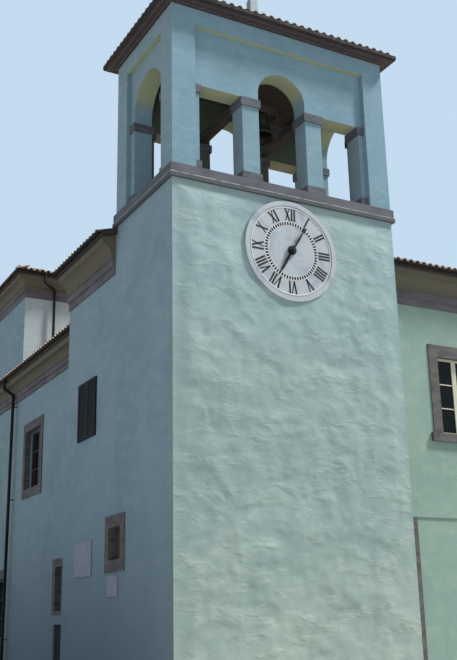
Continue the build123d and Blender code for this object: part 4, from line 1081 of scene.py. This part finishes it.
# Pale paint for the minute ring, and a painted highlight for the dial's fillet
pale_paint = coated("pale_paint", paint(214, 216, 214), roughness=0.6, variation=0.08)


def hoop(name, section):
    """A painted ring about the arbor, whose section is given as (radius, depth) points in order."""
    shape = bmesh.new()
    loops = []
    for step in range(hoop_steps):
        angle = 2 * math.pi * step / hoop_steps
        loop = []
        for radius, depth in section:
            point = dial_place(angle, 0, radius)
            point.y += depth
            loop.append(shape.verts.new(point))
        loops.append(loop)
    for first, second in zip(loops, loops[1:] + loops[:1]):
        for start in range(len(section)):
            end = (start + 1) % len(section)
            shape.faces.new((first[start], first[end], second[end], second[start]))
    bmesh.ops.recalc_face_normals(shape, faces=shape.faces)
    finish_piece(new_piece(name, shape), pale_paint)


inner, outer = minute_ring
hoop("minute_ring", [(inner, 0), (inner, -ring_relief), (outer, -ring_relief), (outer, 0)])
fillet_section = []
for side in range(fillet_sides):
    turn = 2 * math.pi * side / fillet_sides
    radius = fillet_radius + math.sin(turn) * fillet_width / 2
    fillet_section.append((radius, math.cos(turn) * fillet_height))
hoop("dial_fillet", fillet_section)


# Windows
# Painted timber casements of two leaves, each with two glazing bars across its glass. The glass is near
# black, as painted shade of the rooms behind.
def islands(name):
    """The lowest and highest corner of every separate solid in a CAD node."""
    shape = bmesh.new()
    shape.from_mesh(nodes[name].data)
    bmesh.ops.remove_doubles(shape, verts=shape.verts, dist=0.0001)
    waiting = set(shape.verts)
    found = []
    while waiting:
        edge_of_search = [waiting.pop()]
        group = []
        while edge_of_search:
            vert = edge_of_search.pop()
            group.append(vert.co.copy())
            for edge in vert.link_edges:
                other = edge.other_vert(vert)
                if other in waiting:
                    waiting.remove(other)
                    edge_of_search.append(other)
        low = Vector([min(point[axis] for point in group) for axis in range(3)])
        high = Vector([max(point[axis] for point in group) for axis in range(3)])
        found.append((low, high))
    shape.free()
    return sorted(found, key=lambda pair: tuple(pair[0]))


def aged_paint(name, color, worn, roughness):
    """Old oil paint on timber, thin enough in places for the wood to show."""
    material, tree = new_material(name)
    wear = cloud(tree, stretched(tree, (1, 1, 0.25)), 14, 4, 0.6)
    mixed = blend_color(tree, spread(tree, wear, 0.5, 0.75, 0, 0.6), color, worn)
    return feed(material, mixed, roughness, wear, relief=0.002, specular=0.2)


casement_paint = aged_paint("casement_paint", paint(198, 194, 176), paint(146, 138, 122), 0.6)

# The casements on the left side are darker
dark_casement_x = -2.2
dark_casement = paint(72, 69, 78)
tree, plain, base = open_color(casement_paint)
leftward = calc(tree, "LESS_THAN", at_point(tree, "Position", "X"), dark_casement_x)
tree.links.new(blend_color(tree, leftward, plain, dark_casement), base)
dress(casement_paint, "window_frames")

pane_glass, tree = new_material("pane_glass")
waves = cloud(tree, stretched(tree), 2.2, 1)
# Near-black glass: painted shade of the rooms behind
feed(pane_glass, paint(15, 18, 18), roughness=0.12, height=waves, relief=0.004, specular=0.14)
dress(pane_glass, "window_glass")

bar_width = 0.028
bar_depth = 0.034
bar_levels = (1 / 3, 2 / 3)
bars = bmesh.new()
for low, high in islands("window_glass"):
    size = high - low
    thin = 0 if size.x < size.y else 1
    middle = (low + high) / 2
    for share in bar_levels:
        level = low.z + size.z * share
        bar_low, bar_high = low.copy(), high.copy()
        bar_low[thin] = middle[thin] - bar_depth / 2
        bar_high[thin] = middle[thin] + bar_depth / 2
        bar_low.z = level - bar_width / 2
        bar_high.z = level + bar_width / 2
        add_block(bars, bar_low, bar_high)
finish_piece(new_piece("glazing_bars", bars), casement_paint)


# Shutters on the left wall
# Two closed leaves of dark louvres in a frame, hung on the face of the wall. The leaves behind the louvres
# are nearly black: their own dark paint and painted shade in the gaps.
louvre_pitch = 0.078
louvre_width = 0.066
louvre_thickness = 0.010
louvre_tilt = math.radians(38)
shutter_rail = 0.09
louvre_wobble = 0.01
# Nearly black leaves: dark paint and painted shade between the louvres
shutter_and_gap_shade = aged_paint("shutter_paint", paint(24, 24, 28), paint(18, 18, 22), 0.8)
louvre_finish = aged_paint("louvre_paint", paint(56, 56, 60), paint(44, 44, 48), 0.8)
dress(shutter_and_gap_shade, "window_shutters")
leaf_low, leaf_high = islands("window_shutters")[0]
leaf_inner = leaf_high.y - leaf_low.y - 2 * shutter_rail
slat_shape = bmesh.new()
add_block(
    slat_shape,
    (-louvre_width / 2, -leaf_inner / 2, -louvre_thickness / 2),
    (louvre_width / 2, leaf_inner / 2, louvre_thickness / 2),
)
slat_unit = hidden_unit("slat_unit", slat_shape)
slats = []
for low, high in islands("window_shutters"):
    bottom = low.z + shutter_rail + louvre_width / 2
    top = high.z - shutter_rail - louvre_width / 2
    count = int((top - bottom) / louvre_pitch)
    for step in range(count + 1):
        level = bottom + (top - bottom) * step / count
        middle = Vector(((low.x + high.x) / 2, (low.y + high.y) / 2, level))
        slats.append((middle, (0, -louvre_tilt, 0)))
values = {"Unit": slat_unit, "Wobble": louvre_wobble, "Seed": 17, "Finish": louvre_finish}
louvres = run_tree(point_piece("shutter_louvres", slats), courses, values)
finish_piece(louvres, louvre_finish)


# Service door
# Vertical boards painted dark, on the outer face of a ledged leaf.
def board_row(name, low, high, width, gap):
    """Upright boards side by side along Y, in the box between two corners."""
    shape = bmesh.new()
    count = round((high[1] - low[1]) / width)
    step = (high[1] - low[1]) / count
    for number in range(count):
        near = low[1] + number * step + gap / 2
        far = low[1] + (number + 1) * step - gap / 2
        add_block(shape, (low[0], near, low[2]), (high[0], far, high[2]))
    return new_piece(name, shape)


door_board_width = 0.118
door_board_proud = 0.008
door_board_gap = 0.005
door_finish = aged_paint("door_paint", paint(24, 28, 38), paint(18, 21, 29), 0.8)
dress(door_finish, "service_door")
door_low, door_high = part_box("service_door")
front_of_door = (door_low.x - door_board_proud, door_low.y, door_low.z)
back_of_boards = (door_low.x, door_high.y, door_high.z)
door_boards = board_row("door_boards", front_of_door, back_of_boards, door_board_width, door_board_gap)
finish_piece(door_boards, door_finish, "service_door")


# Niche
# Old brown boards close the back of the square niche in the tower's left side.
niche_boards_finish = timber("niche_boards", paint(84, 56, 46), paint(50, 38, 36), (1, 1, 0.08))
niche_low = (-2.85, 2.375, 3.13)
niche_high = (-2.74, 3.065, 3.84)
niche_board_width = 0.135
niche_board_gap = 0.008
niche_boards = board_row("niche_boards", niche_low, niche_high, niche_board_width, niche_board_gap)
finish_piece(niche_boards, niche_boards_finish)


# Floors
# Terracotta tiles, seen only through the openings.
floor_tiles, tree = new_material("floor_tiles")
floor_noise = cloud(tree, stretched(tree), 3.5, 4)
floor_mix = blend_color(tree, floor_noise, paint(150, 104, 82), paint(120, 84, 68))
feed(floor_tiles, floor_mix, roughness=0.8)
dress(floor_tiles, "ground_floors", "upper_floors", "belfry_floor")
